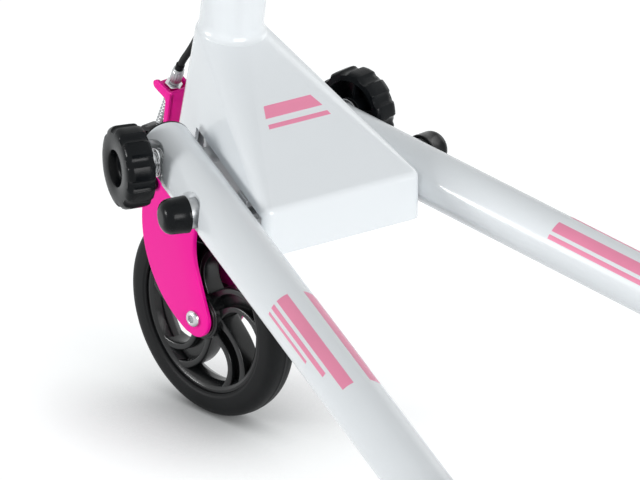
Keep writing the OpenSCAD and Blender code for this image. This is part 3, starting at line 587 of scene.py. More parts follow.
CROWN_REAR = 19
BOW_R = 78.7
HOLLOW_R = 55
TIP_R = 13.9
bow = (30, 62)
hollow = (60, 60)
tip = (FORK_TRAIL, 0)
top_front = circle_cross(bow, BOW_R, line_z=CROWN_TOP, pick=-1)
hollow_top = circle_cross(hollow, HOLLOW_R, line_y=CROWN_REAR, pick=1)
toward = angle_to(tip, hollow)
lean = math.degrees(math.acos((TIP_R + HOLLOW_R) / math.dist(tip, hollow)))
blade_outline = [(CROWN_REAR, CROWN_TOP)]
blade_outline += arc(bow, BOW_R, angle_to(bow, top_front), 358 + angle_to(bow, tip), 44)
blade_outline += arc(tip, TIP_R, 362 + angle_to(bow, tip), 360 + toward - lean, 28)
blade_outline += arc(hollow, HOLLOW_R, 180 + toward - lean, angle_to(hollow, hollow_top), 36)
for name, sign in (("left", 1), ("right", -1)):
    low, high = sorted((sign * FORK_IN, sign * FORK_OUT))
    add("fork_blade_" + name + "_form", [plate(blade_outline, low, high, 1.1, 4)], FORK, "steering", PINK,
        ["fork_blade_" + name])
crown = slab((-FORK_IN, FORK_IN), (-33, CROWN_REAR), (CROWN_LOW, CROWN_TOP), 0.8)
add("fork_crown_form", [crown], FORK, "steering", PINK, ["fork_crown"])


# Head tube, hood and fold pivots

tube_outline = rounded([(HEAD_LOW, HEAD_BORE), (HEAD_LOW, HEAD_R),
                        (HEAD_TOP, HEAD_R), (HEAD_TOP, HEAD_BORE)], 0.5, 3)
add("head_tube_form", [lathe(tube_outline, "Z", 128)], HEAD, "frame", WHITE, ["head_tube"])

WELD_TOP = 227
WELD_LOW = 216.8
WELD_IN = 21.2
WELD_OUT = 2.2
weld_outline = [(WELD_TOP, WELD_IN), (WELD_TOP, HEAD_R)]
for k in range(1, 13):
    t = math.radians(6 * k)
    out = WELD_OUT * (1 - math.cos(t)) / (1 - math.cos(math.radians(72)))
    weld_outline.append((WELD_TOP - 8.2 * math.sin(t), HEAD_R + out))
weld_outline += [(WELD_LOW, HEAD_R + WELD_OUT), (WELD_LOW, WELD_IN)]
weld = lathe(weld_outline, "Z", 128)
for vert in weld.verts:
    off = math.hypot(vert.co.x, vert.co.y) - HEAD_R
    vert.co.y += NECK_BACK * min(1, max(0, off / WELD_OUT))
add("neck_weld", [weld], HEAD, "frame", WHITE, sharp=60)

cup_parts = []
for at, way in ((HEAD_LOW, -1), (HEAD_TOP, 1)):
    low, high = sorted((at, at + 4 * way))
    cup = rounded([(low, 17.2), (low, 23.9), (high, 23.9), (high, 17.2)], 0.9, 4)
    cup_parts.append(lathe(cup, "Z", 96))
add("headset_cups_form", cup_parts, HEAD, "frame", STEEL, ["headset_cups"])


def tilted(x, y, z):
    """A place along the head tube as a place above the floor."""
    return turn("X", -HEAD_TILT) @ Vector((x, y - FORK_TRAIL, z)) + Vector((0, 0, WHEEL_R))


def dome_points(centre, r):
    """Upper half of a ball."""
    out = []
    for k in range(9):
        b = math.radians(90 * k / 8)
        for x, y in ring(r * math.cos(b), 28):
            out.append(Vector((centre[0] + x, centre[1] + y, centre[2] + r * math.sin(b))))
    return out


def neck_points(inset):
    """Rounded upper rim of the hood round the head tube."""
    out = []
    for k in range(9):
        t = math.pi / 2 * k / 8
        r = 22.4 + 2.6 * math.sin(t)
        z = 216.6 + 2.9 * math.cos(t)
        out += [tilted(x, y + NECK_BACK, z - inset) for x, y in ring(r - inset, 64)]
    return out


def hood_solid(inset, drop):
    """Closed pyramid of the hood, drawn from its rounded corners."""
    corner_x, corner_y, corner_z = HOOD_CORNER
    points = neck_points(inset)
    for sign in (-1, 1):
        points += [tilted(sign * 4 + x, y, HEAD_LOW - drop) for x, y in ring(26 - inset, 64)]
        points += dome_points((sign * corner_x, corner_y, corner_z), HOOD_CORNER_R - inset)
        for z, r in ((185.7, HOOD_CORNER_R), (185.2, 6.8), (185, 6.3)):
            points += [Vector((sign * corner_x + x, corner_y + y, z - drop))
                       for x, y in ring(r - inset, 28)]
    bm = bmesh.new()
    for p in points:
        bm.verts.new(p)
    hull = bmesh.ops.convex_hull(bm, input=bm.verts)
    spare = hull["geom_interior"] + hull["geom_unused"]
    loose = {e for e in spare if isinstance(e, bmesh.types.BMVert)}
    bmesh.ops.delete(bm, geom=list(loose), context="VERTS")
    bmesh.ops.dissolve_limit(bm, angle_limit=math.radians(0.3), verts=bm.verts, edges=bm.edges)
    bmesh.ops.recalc_face_normals(bm, faces=bm.faces)
    return bm


def cut(obj, tools):
    """Cuts tool objects out of an object and removes them."""
    for tool in tools:
        step = obj.modifiers.new("cut", "BOOLEAN")
        step.object = tool
        step.operation = "DIFFERENCE"
        step.solver = "EXACT"
    bpy.context.view_layer.update()
    graph = bpy.context.evaluated_depsgraph_get()
    made = bpy.data.meshes.new_from_object(obj.evaluated_get(graph))
    obj.modifiers.clear()
    obj.data = made
    for tool in tools:
        bpy.data.objects.remove(tool)


hood = placed("hood_form", [hood_solid(0, 0)], FRONT)
recesses = []
for name, side in SIDES:
    recess = slab((-32.5, 40), (-24.5, 103), (-120, 8.5), 1.2)
    recesses.append(placed("recess_" + name, [recess], side @ ARM))
cut(hood, [placed("inside", [hood_solid(2.2, 8)], FRONT)] + recesses)
hood.modifiers.new("flat_faces", "WEIGHTED_NORMAL").keep_sharp = True
finish_piece(hood, "frame", WHITE, ["hood"], sharp=28)

# The recess parts get the mid grey: painted shade inside the hood's side recesses
dress(RECESS_SHADE_GREY, "side_plates", "pivot_spacers")
dress(STEEL, "pivot_bolts", "lever_pin", "left_pin", "right_pin")
dress(ALLOY, "brake_pivot", "cable_anchor")
WASHERS = ((10.1, 12.4, 9.8), (12.4, 13.6, 8), (13.6, 15.8, 9.8), (15.8, 22.6, 7), (22.6, 24.5, 9.8))
washer_parts = []
for name, side in SIDES:
    for low, high, r in WASHERS:
        washer_parts.append(put(washer(r, 4.1, low, high), side @ ARM))
add("knob_washers_form", washer_parts, Matrix.Identity(4), "frame", STEEL, ["knob_washers"])


# Fold knobs

def knob_form():
    """Fluted knob with a dished face and a hollow ribbed back, along +x."""
    face = [(7, 0), (7, 10.5), (6.4, 11.6), (5.2, 12.2), (1.2, 12.5)]
    face += [(0.4, 12.9), (0, 13.8), (0, 22), (0.2, 24.5)]
    outer = [(0.9, 26.3), (2.2, 27.7), (4, 28.4), (6, 28.5)]
    inner = [(5, 28.4), (2, 28.2), (0.6, 27.6), (0, 26.8)]
    back = [(0, 22.4), (0.6, 21.8), (10, 21.2), (11, 20.4), (11, 11), (10.6, 10.2), (1.4, 9.6), (1, 9.2)]
    back += [(1, 4.4), (6, 4.4), (6, 0)]
    outline = [(KNOB_OUT - x, r) for x, r in face + outer]
    outline += [(KNOB_IN + x, r) for x, r in inner + back]
    first = len(face)
    last = len(face + outer + inner)

    def form(i, a, radius):
        if not first <= i < last:
            return radius
        off = (a / (2 * math.pi) * 10 + 0.5) % 1 - 0.5
        groove = max(0.0, 1 - (abs(off) / 0.22) ** 2)
        return radius - 2.0 * math.sqrt(groove) * min(1, (last - i) / 2)

    parts = [lathe(outline, count=240, closed=False, form=form)]
    for k in range(5):
        web = slab((KNOB_IN + 3, KNOB_IN + 11.5), (8.6, 22), (-1, 1), 0.4)
        parts.append(put(web, turn("X", 72 * k + 18)))
    return parts


for name, side in SIDES:
    add(name + "_knob_form", knob_form(), side @ ARM, name + "_knob", BLACK, [name + "_knob"], sharp=34)


# Arms, plungers, decks and castors

def cap_form():
    """Domed pull cap along +x."""
    outline = [(20, 10.8), (20, 12.3), (20.3, 12.65), (22.2, 12.65), (22.4, 12.5), (31, 12.2)]
    for k in range(1, 13):
        t = math.pi / 2 * k / 12
        outline.append((31 + 7.5 * math.sin(t), 4.8 + 7.4 * math.cos(t)))
    outline += [(38.5, 0), (25.8, 0), (25.8, 10.6), (20.4, 10.8)]
    return lathe(outline, count=96, closed=False)


def ferrule_form():
    outline = rounded([(11, 3.1), (11, 6), (12, 6), (12, 10.4), (21.7, 10.4), (21.7, 3.1)],
                      [0.2, 0.2, 0.2, 0.2, 0.9, 0.4], 4)
    return lathe(outline, count=72)


def arm_form():
    """Arm tube with pressed seats for washers and ferrule on its outer side."""
    front = 2 - ARM_NOSE
    rear = ARM_LEN - 2
    bore = ARM_R - ARM_WALL
    rows = [front + k for k in range(1, 44)] + [PLUNGER_S - 19 + k for k in range(39)]
    points = [(front, bore), (front, ARM_R)] + [(y, ARM_R) for y in rows]
    points += [(rear, ARM_R), (rear, bore)] + [(y, bore) for y in reversed(rows)]
    radii = [0, 0.5] + [0] * len(rows) + [0.5, 0] + [0] * len(rows)
    tube = lathe(rounded(points, radii, 3), "Y", 256)
    for vert in tube.verts:
        depth = ARM_R - math.hypot(vert.co.x, vert.co.z)
        pivot_seat = 10 + 8.6 * ease((math.hypot(vert.co.y, vert.co.z) - 11) / 10)
        plunger_seat = 13 + 5.6 * ease((math.hypot(vert.co.y - PLUNGER_S, vert.co.z) - 12.8) / 5)
        vert.co.x = min(vert.co.x, pivot_seat - depth, plunger_seat - depth)
    return tube


def plug_forms():
    """Black end plugs with a dished face."""
    face = [(0.9, 0), (0.9, 14), (0, 15), (0, 17.6), (0.7, ARM_R), (2, ARM_R), (2, 16)]
    front = [(y - ARM_NOSE, r) for y, r in face + [(4, 15.8), (4, 0)]]
    rear = [(ARM_LEN - y, r) for y, r in face + [(14, 15.8), (14, 0)]]
    return [lathe(front, "Y", 96, closed=False), lathe(rear, "Y", 96, closed=False)]


def stripe(first, last, low, high):
    """Thin pink band laid on the arm tube between two places and two angles."""
    bm = bmesh.new()
    angles = [math.radians(low + (high - low) * k / 24) for k in range(25)]
    grid = []
    for r in (ARM_R + 0.10, ARM_R - 0.15):
        layer = []
        for y in (first, last):
            layer.append([bm.verts.new((r * math.sin(a), y, r * math.cos(a))) for a in angles])
        grid.append(layer)
    for layer in grid:
        for k in range(24):
            bm.faces.new((layer[0][k], layer[0][k + 1], layer[1][k + 1], layer[1][k]))
    rim_one = grid[0][0] + grid[0][1][::-1]
    rim_two = grid[1][0] + grid[1][1][::-1]
    for k in range(len(rim_one)):
        n = (k + 1) % len(rim_one)
        bm.faces.new((rim_one[k], rim_one[n], rim_two[n], rim_two[k]))
    bmesh.ops.recalc_face_normals(bm, faces=bm.faces)
    return bm


def deck_outline(half, first, last, r):
    return rounded([(-half, first), (half, first), (half, last), (-half, last)], r, 14)


def deck_forms():
    """Moulded foot deck with two saddles round the tube."""
    outline = deck_outline(52, DECK_S, DECK_S + DECK_LEN, 36)
    parts = [put(plate(outline, 21, 30, 2.6, 5), ACROSS_Z)]
    saddle = [(-15, 21.5), (-15, 3)] + arc((0, 0), 18.6, 170.7, 9.3, 24) + [(15, 3), (15, 21.5)]
    for first in (DECK_S + 40, DECK_S + DECK_LEN - 70):
        parts.append(put(plate(saddle, first, first + 30, 0.7, 2), ACROSS_Y))
    return parts


def mat_forms():
    """Rubber tread mat with rows of raised bars."""
    outline = deck_outline(45, DECK_S + 7, DECK_S + DECK_LEN - 7, 29)
    parts = [put(plate(outline, 29.9, 31.2, 0.5, 2), ACROSS_Z)]
    for row in range(16):
        y = DECK_S + 23 + row * 12
        reach = 36 if 1 <= row <= 14 else 29
        bars = 4 if row % 2 == 0 else 3
        for k in range(bars):
            x = (k - (bars - 1) / 2) * 2 * reach / 4
            bar = capsule((x - reach / 5.4, y), (x + reach / 5.4, y), 2.1, 2.1, 8)
            parts.append(put(plate(bar, 31, 32, 0.4, 2), ACROSS_Z))
    return parts


def castor_fork_form():
    """Round head with a stud and two legs."""
    head = rounded([(-5.5, 0.01), (-5.5, 19), (-0.5, 19), (-0.5, 0.01)], [0, 1.2, 1.2, 0], 4)
    leg = capsule((5, -10.5), (CASTOR_TRAIL, -CASTOR_DROP), 10, 10, 20)
    parts = [lathe(head, "Z", 96)]
    parts.append(lathe([(-1, 0), (-1, 5), (17, 5), (17, 0)], "Z", 48, closed=False))
    parts.append(plate(leg, 14.5, CASTOR_OUT, 0.8, 3))
    parts.append(plate(leg, -CASTOR_OUT, -14.5, 0.8, 3))
    return parts


def castor_core_form():
    """Turned castor core with five webs."""
    half = [(-12, CASTOR_BORE), (-12, 22.6), (-10.4, 21.8), (-6, 20), (-6, 13.5)]
    half += [(-11.2, 12.4), (-14.2, 10.5), (-14.2, 4.05)]
    parts = [lathe(rounded(half + [(-x, r) for x, r in half[::-1]], 0.8, 3), count=96)]
    for k in range(5):
        web = slab((-10.5, 10.5), (11, 22), (-2, 2), 0.8)
        parts.append(put(web, turn("X", 72 * k)))
    return parts


# First and last place along the arm, and the two angles from its top
ARM_STRIPES = ((215, 330, 18, 44), (215, 305, 52, 62), (215, 280, 70, 76),
               (215, 330, -44, -18), (215, 305, -62, -52))
housing = rounded([(0, 5.2), (0, 17), (26, 17), (26, 5.2)], [0.4, 1.2, 0.2, 0.2], 4)
for name, side in SIDES:
    arm = name + "_arm"
    at = side @ ARM
    plunger_at = at @ shift(0, PLUNGER_S, 0)
    add(name + "_arm_form", [arm_form()], at, arm, WHITE, [name + "_arm"])
    add(name + "_arm_plugs_form", plug_forms(), at, arm, BLACK, [name + "_arm_plugs"])
    add(name + "_arm_stripes", [stripe(*places) for places in ARM_STRIPES], at, arm, DECAL)
    add(name + "_ferrule_form", [ferrule_form()], plunger_at, arm, DULL, [name + "_ferrule"])
    add(name + "_pull_cap_form", [cap_form()], plunger_at, name + "_plunger", BLACK,
        [name + "_pull_cap"], sharp=40)
    add(name + "_deck_form", deck_forms(), at, arm, BLACK, [name + "_deck"])
    add(name + "_deck_mat_form", mat_forms(), at, arm, RUBBER, [name + "_deck_mat"])
    castor_at = side @ CASTOR
    axle_at = side @ CASTOR_AXLE
    castor = name + "_castor"
    wheel = name + "_castor_wheel"
    add(castor + "_housing_form", [lathe(housing, "Z", 96)], castor_at, arm, WHITE, [castor + "_housing"])
    add(castor + "_fork_form", castor_fork_form(), castor_at, castor, STEEL, [castor + "_fork"])
    add(castor + "_axle_form", axle_form(CASTOR_OUT), axle_at, castor, STEEL, [castor + "_axle"])
    add(castor + "_tyre_form", [tyre_form(CASTOR_R, CASTOR_BORE, 12)], axle_at, wheel, TYRE,
        [castor + "_tyre"], sharp=40)
    add(castor + "_core_form", castor_core_form(), axle_at, wheel, CORE, [castor + "_core"])


# Steering column and handlebar

column = rounded([(COLUMN_LOW, COLUMN_BORE), (COLUMN_LOW, COLUMN_R),
                  (COLUMN_TOP, COLUMN_R), (COLUMN_TOP, COLUMN_BORE)], 0.4, 3)
add("steering_column_form", [lathe(column, "Z", 96)], FORK, "steering", WHITE, ["steering_column"])


def knurl(i, a, radius):
    return radius - 0.35 * (0.5 + 0.5 * math.cos(a * 40)) if radius > 20 else radius


nut = rounded([(334.5, COLUMN_R), (334.5, HEAD_R), (346.5, HEAD_R), (346.5, COLUMN_R)],
              [0.3, 0.8, 1.6, 0.3], 4)
add("headset_nut_form", [lathe(nut, "Z", 240, form=knurl)], FORK, "steering", STEEL, ["headset_nut"])

COLLAR_R = 23
EAR_OUT = 36
EAR_HALF = 9
EAR_GAP = 2
gap_angle = math.degrees(math.asin(EAR_GAP / COLUMN_R))
ear_angle = math.degrees(math.asin(EAR_HALF / COLLAR_R))
collar = arc((0, 0), COLUMN_R, 90 - gap_angle, -270 + gap_angle, 60)
collar += [(-EAR_GAP, EAR_OUT), (-EAR_HALF, EAR_OUT)]
collar += arc((0, 0), COLLAR_R, 90 + ear_angle, 450 - ear_angle, 60)
collar += [(EAR_HALF, EAR_OUT), (EAR_GAP, EAR_OUT)]
collar_solid = put(plate(collar, 568, COLUMN_TOP, 0.7, 3), ACROSS_Z)
add("stem_collar_form", [collar_solid], FORK, "steering", ALLOY, ["stem_collar"])
BOLT_Y = 29.5
bolt_parts = []
for z in (576, 592):
    shank = lathe([(-EAR_HALF, 0), (-EAR_HALF, 3), (EAR_HALF, 3), (EAR_HALF, 0)], count=40, closed=False)
    bolt_parts.append(put(shank, shift(0, BOLT_Y, z)))
    bolt_parts.append(put(round_bolt(), shift(EAR_HALF, BOLT_Y, z)))
    bolt_parts.append(put(facing_left(round_bolt()), shift(-EAR_HALF, BOLT_Y, z)))
add("collar_bolts_form", bolt_parts, FORK, "steering", STEEL, ["collar_bolts"])

stem = rounded([(-230, 12.3), (-230, 14.3), (-6, 14.3), (-6, 12.3)], 0.4, 3)
cross = rounded([(-206, 9.1), (-206, BAR_R), (206, BAR_R), (206, 9.1)], 0.4, 3)
add("t_bar_form", [lathe(stem, "Z", 96), lathe(cross, "X", 96)], BAR, "steering", WHITE, ["t_bar"])
bead = []
for x, y in ring(14.0, 160):
    bead.append((x, y, -math.sqrt(max(0, BAR_R ** 2 - min(abs(y), 10.6) ** 2)) - 0.6))
add("bar_weld", [rod(bead + bead[:1], 1.6, 12)], BAR, "steering", WHITE, sharp=60)


def grip_form():
    """Rubber grip along +x with ring grooves, a flange and a closed end."""
    outline = [(95, BAR_R), (95, 15.2), (95.6, 15.9), (98.4, 15.9), (99, 15.2), (100, 14.4)]
    x = 101
    while x < 198:
        outline += [(x, 14.3), (x + 0.8, 15.1), (x + 3.4, 15.1), (x + 4.2, 14.3)]
        x += 5.2
    outline += [(204, 15.2), (204.8, 15.9), (207.6, 16), (209, 15.4), (209.8, 14)]
    outline += [(BAR_HALF, 12), (BAR_HALF, 0), (206.2, 0), (206.2, BAR_R)]
    return lathe(outline, count=96)


add("left_grip_form", [grip_form()], BAR, "steering", RUBBER, ["left_grip"])
add("right_grip_form", [facing_left(grip_form())], BAR, "steering", RUBBER, ["right_grip"])

PERCH_HALF = 9
PERCH = BAR @ shift(GRIP_LEN + 14 - BAR_HALF, 0, 0)
perch_y = (-CABLE_OUT - 5, -21)
perch_parts = [washer(16, BAR_R, -PERCH_HALF, PERCH_HALF, edge=1.0)]
perch_parts.append(slab((-PERCH_HALF, PERCH_HALF), (-22, -13), (-10, 10), 1.2))
perch_parts.append(slab((-PERCH_HALF, PERCH_HALF), perch_y, (4, 10), 1.2))
perch_parts.append(slab((-PERCH_HALF, PERCH_HALF), perch_y, (-10, -4), 1.2))
perch_parts.append(slab((6.5, PERCH_HALF), perch_y, (-10, 10), 0.8))
add("lever_perch_form", perch_parts, PERCH, "steering", ALLOY, ["lever_perch"])

LEVER_LEN = 104
LEVER_HALF = 3.5


def lever_form():
    """Hand lever along +x with a slight bow and a ball end."""
    upper = []
    lower = []
    for k in range(31):
        t = k / 30
        bend = 2.2 * math.sin(math.pi * t)
        half = 5.4 - 1.3 * math.sin(math.pi * min(1, t * 1.15))
        upper.append((LEVER_LEN * t, half - bend))
        lower.append((LEVER_LEN * t, -half - bend))
    outline = arc((0, 0), 6, 100, 260, 14) + lower[2:] + upper[:1:-1]
    ball = [(-LEVER_HALF, 0)]
    for k in range(13):
        t = -math.pi / 2 + math.pi * k / 12
        ball.append((LEVER_HALF * math.sin(t), 2.5 + LEVER_HALF * math.cos(t)))
    ball.append((LEVER_HALF, 0))
    return [put(plate(outline, -LEVER_HALF, LEVER_HALF, 1.4, 4), ACROSS_Z),
            put(lathe(ball, "Z", 48, closed=False), shift(LEVER_LEN, 0, 0))]


LEVER = PERCH @ shift(0, -30, 0) @ turn("Z", 190)
add("brake_lever_form", lever_form(), LEVER, "brake_lever", ALLOY, ["brake_lever"])


# Brake

flange = rounded([(-30.5, 102), (-30.5, 110), (-38.4, 117), (-38.4, 150.5), (-43.5, 150.8), (-54.2, 153.9),
                  (-58.6, 151.6), (-57.0, 147.4), (-44.2, 143.4), (-44.2, 120), (-41.5, 117), (-41.5, 102)],
                 [0.6, 3, 3, 1.2, 4, 3.4, 2.6, 3.4, 3, 2, 2, 0.6], 6)
BRACKET_HALF = 10.5
bracket_x = (-BRACKET_HALF, BRACKET_HALF)
bracket_parts = [plate(flange, 8, BRACKET_HALF, 0.7, 3), plate(flange, -BRACKET_HALF, -8, 0.7, 3)]
bracket_parts.append(slab(bracket_x, (-33, -30.5), (102, 112), 0.7))
bracket_parts.append(slab(bracket_x, (-40.9, -38.4), (114, 151), 0.7))
bracket_parts.append(put(slab((-8.4, 8.4), (-8.5, 8.5), (STOP_UP, STOP_UP + 3), 0.6), WIRE_IN_FORK))
add("brake_bracket_form", bracket_parts, FORK, "steering", PINK, ["brake_bracket"])
add("adjuster_nut_form", [hex_nut(11.4, 41.4, 45.2, 1.4)], WIRE, "steering", STEEL, ["adjuster_nut"])


def barrel_grip(i, a, radius):
    return radius - 0.22 * (0.5 + 0.5 * math.cos(a * 14)) if radius > 4.1 else radius


barrel = rounded([(45.4, 1.4), (45.4, 3.6), (47.2, 3.6), (47.8, 4.25),
                  (55.8, 4.25), (56.4, 3.9), (STOP_LEN, 3.9), (STOP_LEN, 1.4)],
                 [0, 0.2, 0.2, 0.4, 0.4, 0.2, 0.5, 0], 3)
add("barrel_adjuster_form", [lathe(barrel, "Z", 112, form=barrel_grip)], WIRE, "steering", DULL,
    ["barrel_adjuster"])

STRAND_R = 0.42
strands = []
for k in range(5):
    line = []
    for i in range(61):
        a = 2 * math.pi * k / 5 + i * 0.5
        line.append((STRAND_R * math.cos(a), STRAND_R * math.sin(a), 6 + 52.4 * i / 60))
    strands.append(rod(line, 0.36, 8))
wire = add("brake_wire_form", strands, WIRE, "steering", STEEL, ["brake_wire"], sharp=60)

COIL_TURNS = 11
COIL_STEPS = 28 * COIL_TURNS
coil = []
for k in range(COIL_STEPS + 1):
    t = k / COIL_STEPS
    r = 3.0 - 0.05 * min(1, t * COIL_TURNS, (1 - t) * COIL_TURNS)
    a = 2 * math.pi * COIL_TURNS * t
    coil.append((r * math.cos(a), r * math.sin(a), 6.5 + 31.4 * t))
spring = add("brake_spring_form", [rod(coil, 0.62, 10)], WIRE, "steering", DULL, ["brake_spring"], sharp=60)

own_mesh(spring)
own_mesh(wire)

# The cable sways away from the wire's line, bends back to a straight run and turns into the lever's perch
wire_a = math.radians(WIRE_TILT)
lean_a = math.radians(CABLE_LEAN)
sway_at = (ANCHOR[0] + STOP_LEN * math.sin(wire_a) + CABLE_SWAY * math.cos(wire_a),
           ANCHOR[1] + STOP_LEN * math.cos(wire_a) - CABLE_SWAY * math.sin(wire_a))
bend_at = (sway_at[0] - (CABLE_SWAY + CABLE_BEND) * math.cos(lean_a),
           sway_at[1] + (CABLE_SWAY + CABLE_BEND) * math.sin(lean_a))
run_y = -CABLE_OUT - bend_at[0]
run_z = BAR_UP - bend_at[1]
run_a = math.atan2(run_z, run_y) - math.acos(CABLE_BEND / math.hypot(run_y, run_z))
run_len = math.sqrt(run_y ** 2 + run_z ** 2 - CABLE_BEND ** 2)
turn_z = run_len - CABLE_TOP_BEND
route = [(0, y, z) for y, z in arc(sway_at, CABLE_SWAY, 180 - WIRE_TILT, 180 - CABLE_LEAN, 12)]
route += [(0, y, z) for y, z in arc(bend_at, CABLE_BEND, -CABLE_LEAN, math.degrees(run_a), 20)[1:]]
run_place = shift(0, *bend_at) @ turn("X", math.degrees(run_a)) @ shift(0, CABLE_BEND, 0)
upper = [(0, turn_z * k / 24) for k in range(1, 25)]
upper += arc((-CABLE_TOP_BEND, turn_z), CABLE_TOP_BEND, 0, 90, 30)[1:]
upper += [(-CABLE_TOP_BEND - 1, run_len), (-CABLE_TOP_BEND - 2, run_len)]
route += [tuple((run_place @ Vector((x * MM, 0, z * MM))) / MM) for x, z in upper]
route = [(x - 9 * ease((z - 165) / 70) * (1 - ease((z - 450) / 200)), y, z) for x, y, z in route]
add("brake_cable_form", [rod(route, CABLE_R, 20)], FORK, "steering", RUBBER, ["brake_cable"], sharp=60)
end_cap = put(washer(3.1, 2.3, 56.4, 62.5, "Z", 0.5), WIRE_IN_FORK)
add("cable_end_cap", [end_cap], FORK, "steering", BLACK)

brake_parts = [plate(capsule(PIVOT, ANCHOR, 6, 5.2), -6, 6, 1.2, 3)]
brake_parts.append(plate(capsule(PIVOT, (-8, 82), 6, 3), -6, 6, 1.0, 3))
brake_parts.append(plate(capsule(ANCHOR, (-66.5, 105.5), 5.2, 4.2), -5.9, 5.9, 1.2, 3))
add("brake_arm_form", brake_parts, FORK, "brake_arm", ALLOY, ["brake_arm"])
dress(RUBBER, "brake_pad")


# Two plain stripes on the hood

def hood_top():
    """A point at the neck on the hood's sloping top, the way down it and the way out of it."""
    rear = Vector((0, *HOOD_CORNER[1:]))
    neck = neck_points(0)
    low = 0.0
    high = math.pi / 2
    for step in range(50):
        angle = (low + high) / 2
        out = Vector((0, math.sin(angle), math.cos(angle)))
        top = max(neck, key=out.dot)
        if out.dot(top) > out.dot(rear) + HOOD_CORNER_R:
            low = angle
        else:
            high = angle
    return Vector((0, top.y, top.z)), Vector((0, out.z, -out.y)), out


def hood_stripe(first, last, half_low, half_high):
    """Thin pink band across the hood's sloping top between two places along it."""
    start, along, out = hood_top()
    outline = [(-half_low, first), (half_low, first), (half_high, last), (-half_high, last)]
    bm = bmesh.new()
    rows = []
    for height in (0.12, -0.4):
        rows.append([bm.verts.new(start + along * d + Vector((x, 0, 0)) + out * height)
                     for x, d in outline])
    return skin(bm, rows)


add("hood_stripes", [hood_stripe(50, 60, 19, 23), hood_stripe(65, 68.5, 24, 25)], FRONT, "frame", DECAL)


# Camera, with the photograph's place and focal length in pixels

AZIMUTH = math.radians(145.0)
ELEVATION = math.radians(22.74)
ROLL = math.radians(0.2)
AIM = Vector((0, 60 - MID_Y, 150))
AWAY = 4823.34
ASIDE = 40.86
RAISED = -0.76
FOCAL_PIXELS = 7099
PICTURE_PIXELS = 640
SENSOR = 36
back = Vector((math.sin(AZIMUTH) * math.cos(ELEVATION),
               -math.cos(AZIMUTH) * math.cos(ELEVATION),
               math.sin(ELEVATION)))
level = Vector((math.cos(AZIMUTH), math.sin(AZIMUTH), 0))
upright = back.cross(level)
right = level * math.cos(ROLL) + upright * math.sin(ROLL)
up = upright * math.cos(ROLL) - level * math.sin(ROLL)
eye = (AIM + back * AWAY + right * ASIDE + up * RAISED) * MM
camera = linked("camera", bpy.data.cameras.new("camera"))
camera.data.lens = FOCAL_PIXELS * SENSOR / PICTURE_PIXELS
camera.data.sensor_width = SENSOR
camera.data.clip_end = 100
camera.matrix_world = Matrix(((right.x, up.x, back.x, eye.x), (right.y, up.y, back.y, eye.y),
                              (right.z, up.z, back.z, eye.z), (0, 0, 0, 1)))
bpy.context.scene.camera = camera


# Floor and world

def maths(tree, operation, one, two):
    """Math node; each of its two inputs is a socket or a number."""
    node = tree.nodes.new("ShaderNodeMath")
    node.operation = operation
    for slot, value in zip(node.inputs, (one, two)):
        if isinstance(value, (int, float)):
            slot.default_value = value
        else:
            tree.links.new(value, slot)
    return node.outputs[0]


def seen_rays(tree):
    """1 for rays that come from the camera, from a glossy surface or through a clear one, else 0."""
    path = tree.nodes.new("ShaderNodeLightPath")
    mirrored = maths(tree, "MAXIMUM", path.outputs["Is Camera Ray"], path.outputs["Is Glossy Ray"])
    return maths(tree, "MAXIMUM", mirrored, path.outputs["Is Transmission Ray"])


def blend(tree, output, share, one, two):
    """Lets a share of the second shader show over the first."""
    mix = tree.nodes.new("ShaderNodeMixShader")
    tree.links.new(share, mix.inputs["Fac"])
    tree.links.new(one.outputs[0], mix.inputs[1])
    tree.links.new(two.outputs[0], mix.inputs[2])
    tree.links.new(mix.outputs[0], tree.nodes.new(output).inputs["Surface"])


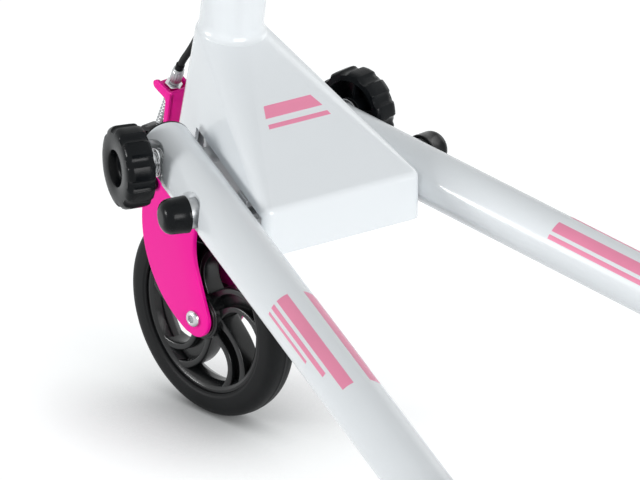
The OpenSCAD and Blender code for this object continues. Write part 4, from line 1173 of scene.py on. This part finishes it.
PALE = (0.985, 1.0, 1.0, 1)
FLOOR_HALF = 30
floor_mesh = bpy.data.meshes.new("floor")
floor_mesh.from_pydata([(-FLOOR_HALF, -FLOOR_HALF, 0), (FLOOR_HALF, -FLOOR_HALF, 0),
                        (FLOOR_HALF, FLOOR_HALF, 0), (-FLOOR_HALF, FLOOR_HALF, 0)], [], [(0, 1, 2, 3)])
floor = linked("floor", floor_mesh)
floor.location.z = -0.0003
paper = bpy.data.materials.new("studio_paper")
paper.use_nodes = True
tree = paper.node_tree
tree.nodes.clear()
matt = tree.nodes.new("ShaderNodeBsdfDiffuse")
matt.inputs["Color"].default_value = (0.92, 0.935, 0.94, 1)
glow = tree.nodes.new("ShaderNodeEmission")
glow.inputs["Color"].default_value = PALE
# Ambient occlusion dims the floor's glow near the scooter: a painted contact shadow under and around the
# wheels, beside the real shadow in the diffuse share
painted_contact_shade = tree.nodes.new("ShaderNodeAmbientOcclusion")
painted_contact_shade.samples = 16
painted_contact_shade.inputs["Distance"].default_value = 0.12
strength = maths(tree, "MULTIPLY", maths(tree, "POWER", painted_contact_shade.outputs["AO"], 2), 1.4)
tree.links.new(strength, glow.inputs["Strength"])
blend(tree, "ShaderNodeOutputMaterial", maths(tree, "MULTIPLY", seen_rays(tree), 0.6), matt, glow)
floor_mesh.materials.append(paper)

world = bpy.data.worlds.new("studio")
bpy.context.scene.world = world
world.use_nodes = True
tree = world.node_tree
tree.nodes.clear()
soft = tree.nodes.new("ShaderNodeBackground")
soft.inputs["Color"].default_value = (0.93, 0.97, 1.0, 1)
soft.inputs["Strength"].default_value = 0.27
plain = tree.nodes.new("ShaderNodeBackground")
plain.inputs["Color"].default_value = PALE
plain.inputs["Strength"].default_value = 1.0
blend(tree, "ShaderNodeOutputWorld", seen_rays(tree), soft, plain)


# Light

def lamp(name, spot, aim, size, power):
    """Large soft lamp."""
    light = bpy.data.lights.new(name, "AREA")
    light.shape = "RECTANGLE"
    light.size, light.size_y = size
    light.energy = power
    obj = linked(name, light)
    obj.location = spot
    obj.rotation_mode = "QUATERNION"
    obj.rotation_quaternion = (Vector(aim) - Vector(spot)).to_track_quat("-Z", "Y")


lamp("key", (0.3, 6.0, 2.0), (0, -0.2, 0.25), (4.0, 2.4), 296)
lamp("side", (4.9, -2.4, 1.3), (0, -0.2, 0.25), (1.3, 1.0), 150)
lamp("far_side", (-2.6, -0.6, 1.4), (0, 0, 0.25), (1.6, 1.4), 14)
bpy.context.scene.view_settings.view_transform = "Standard"
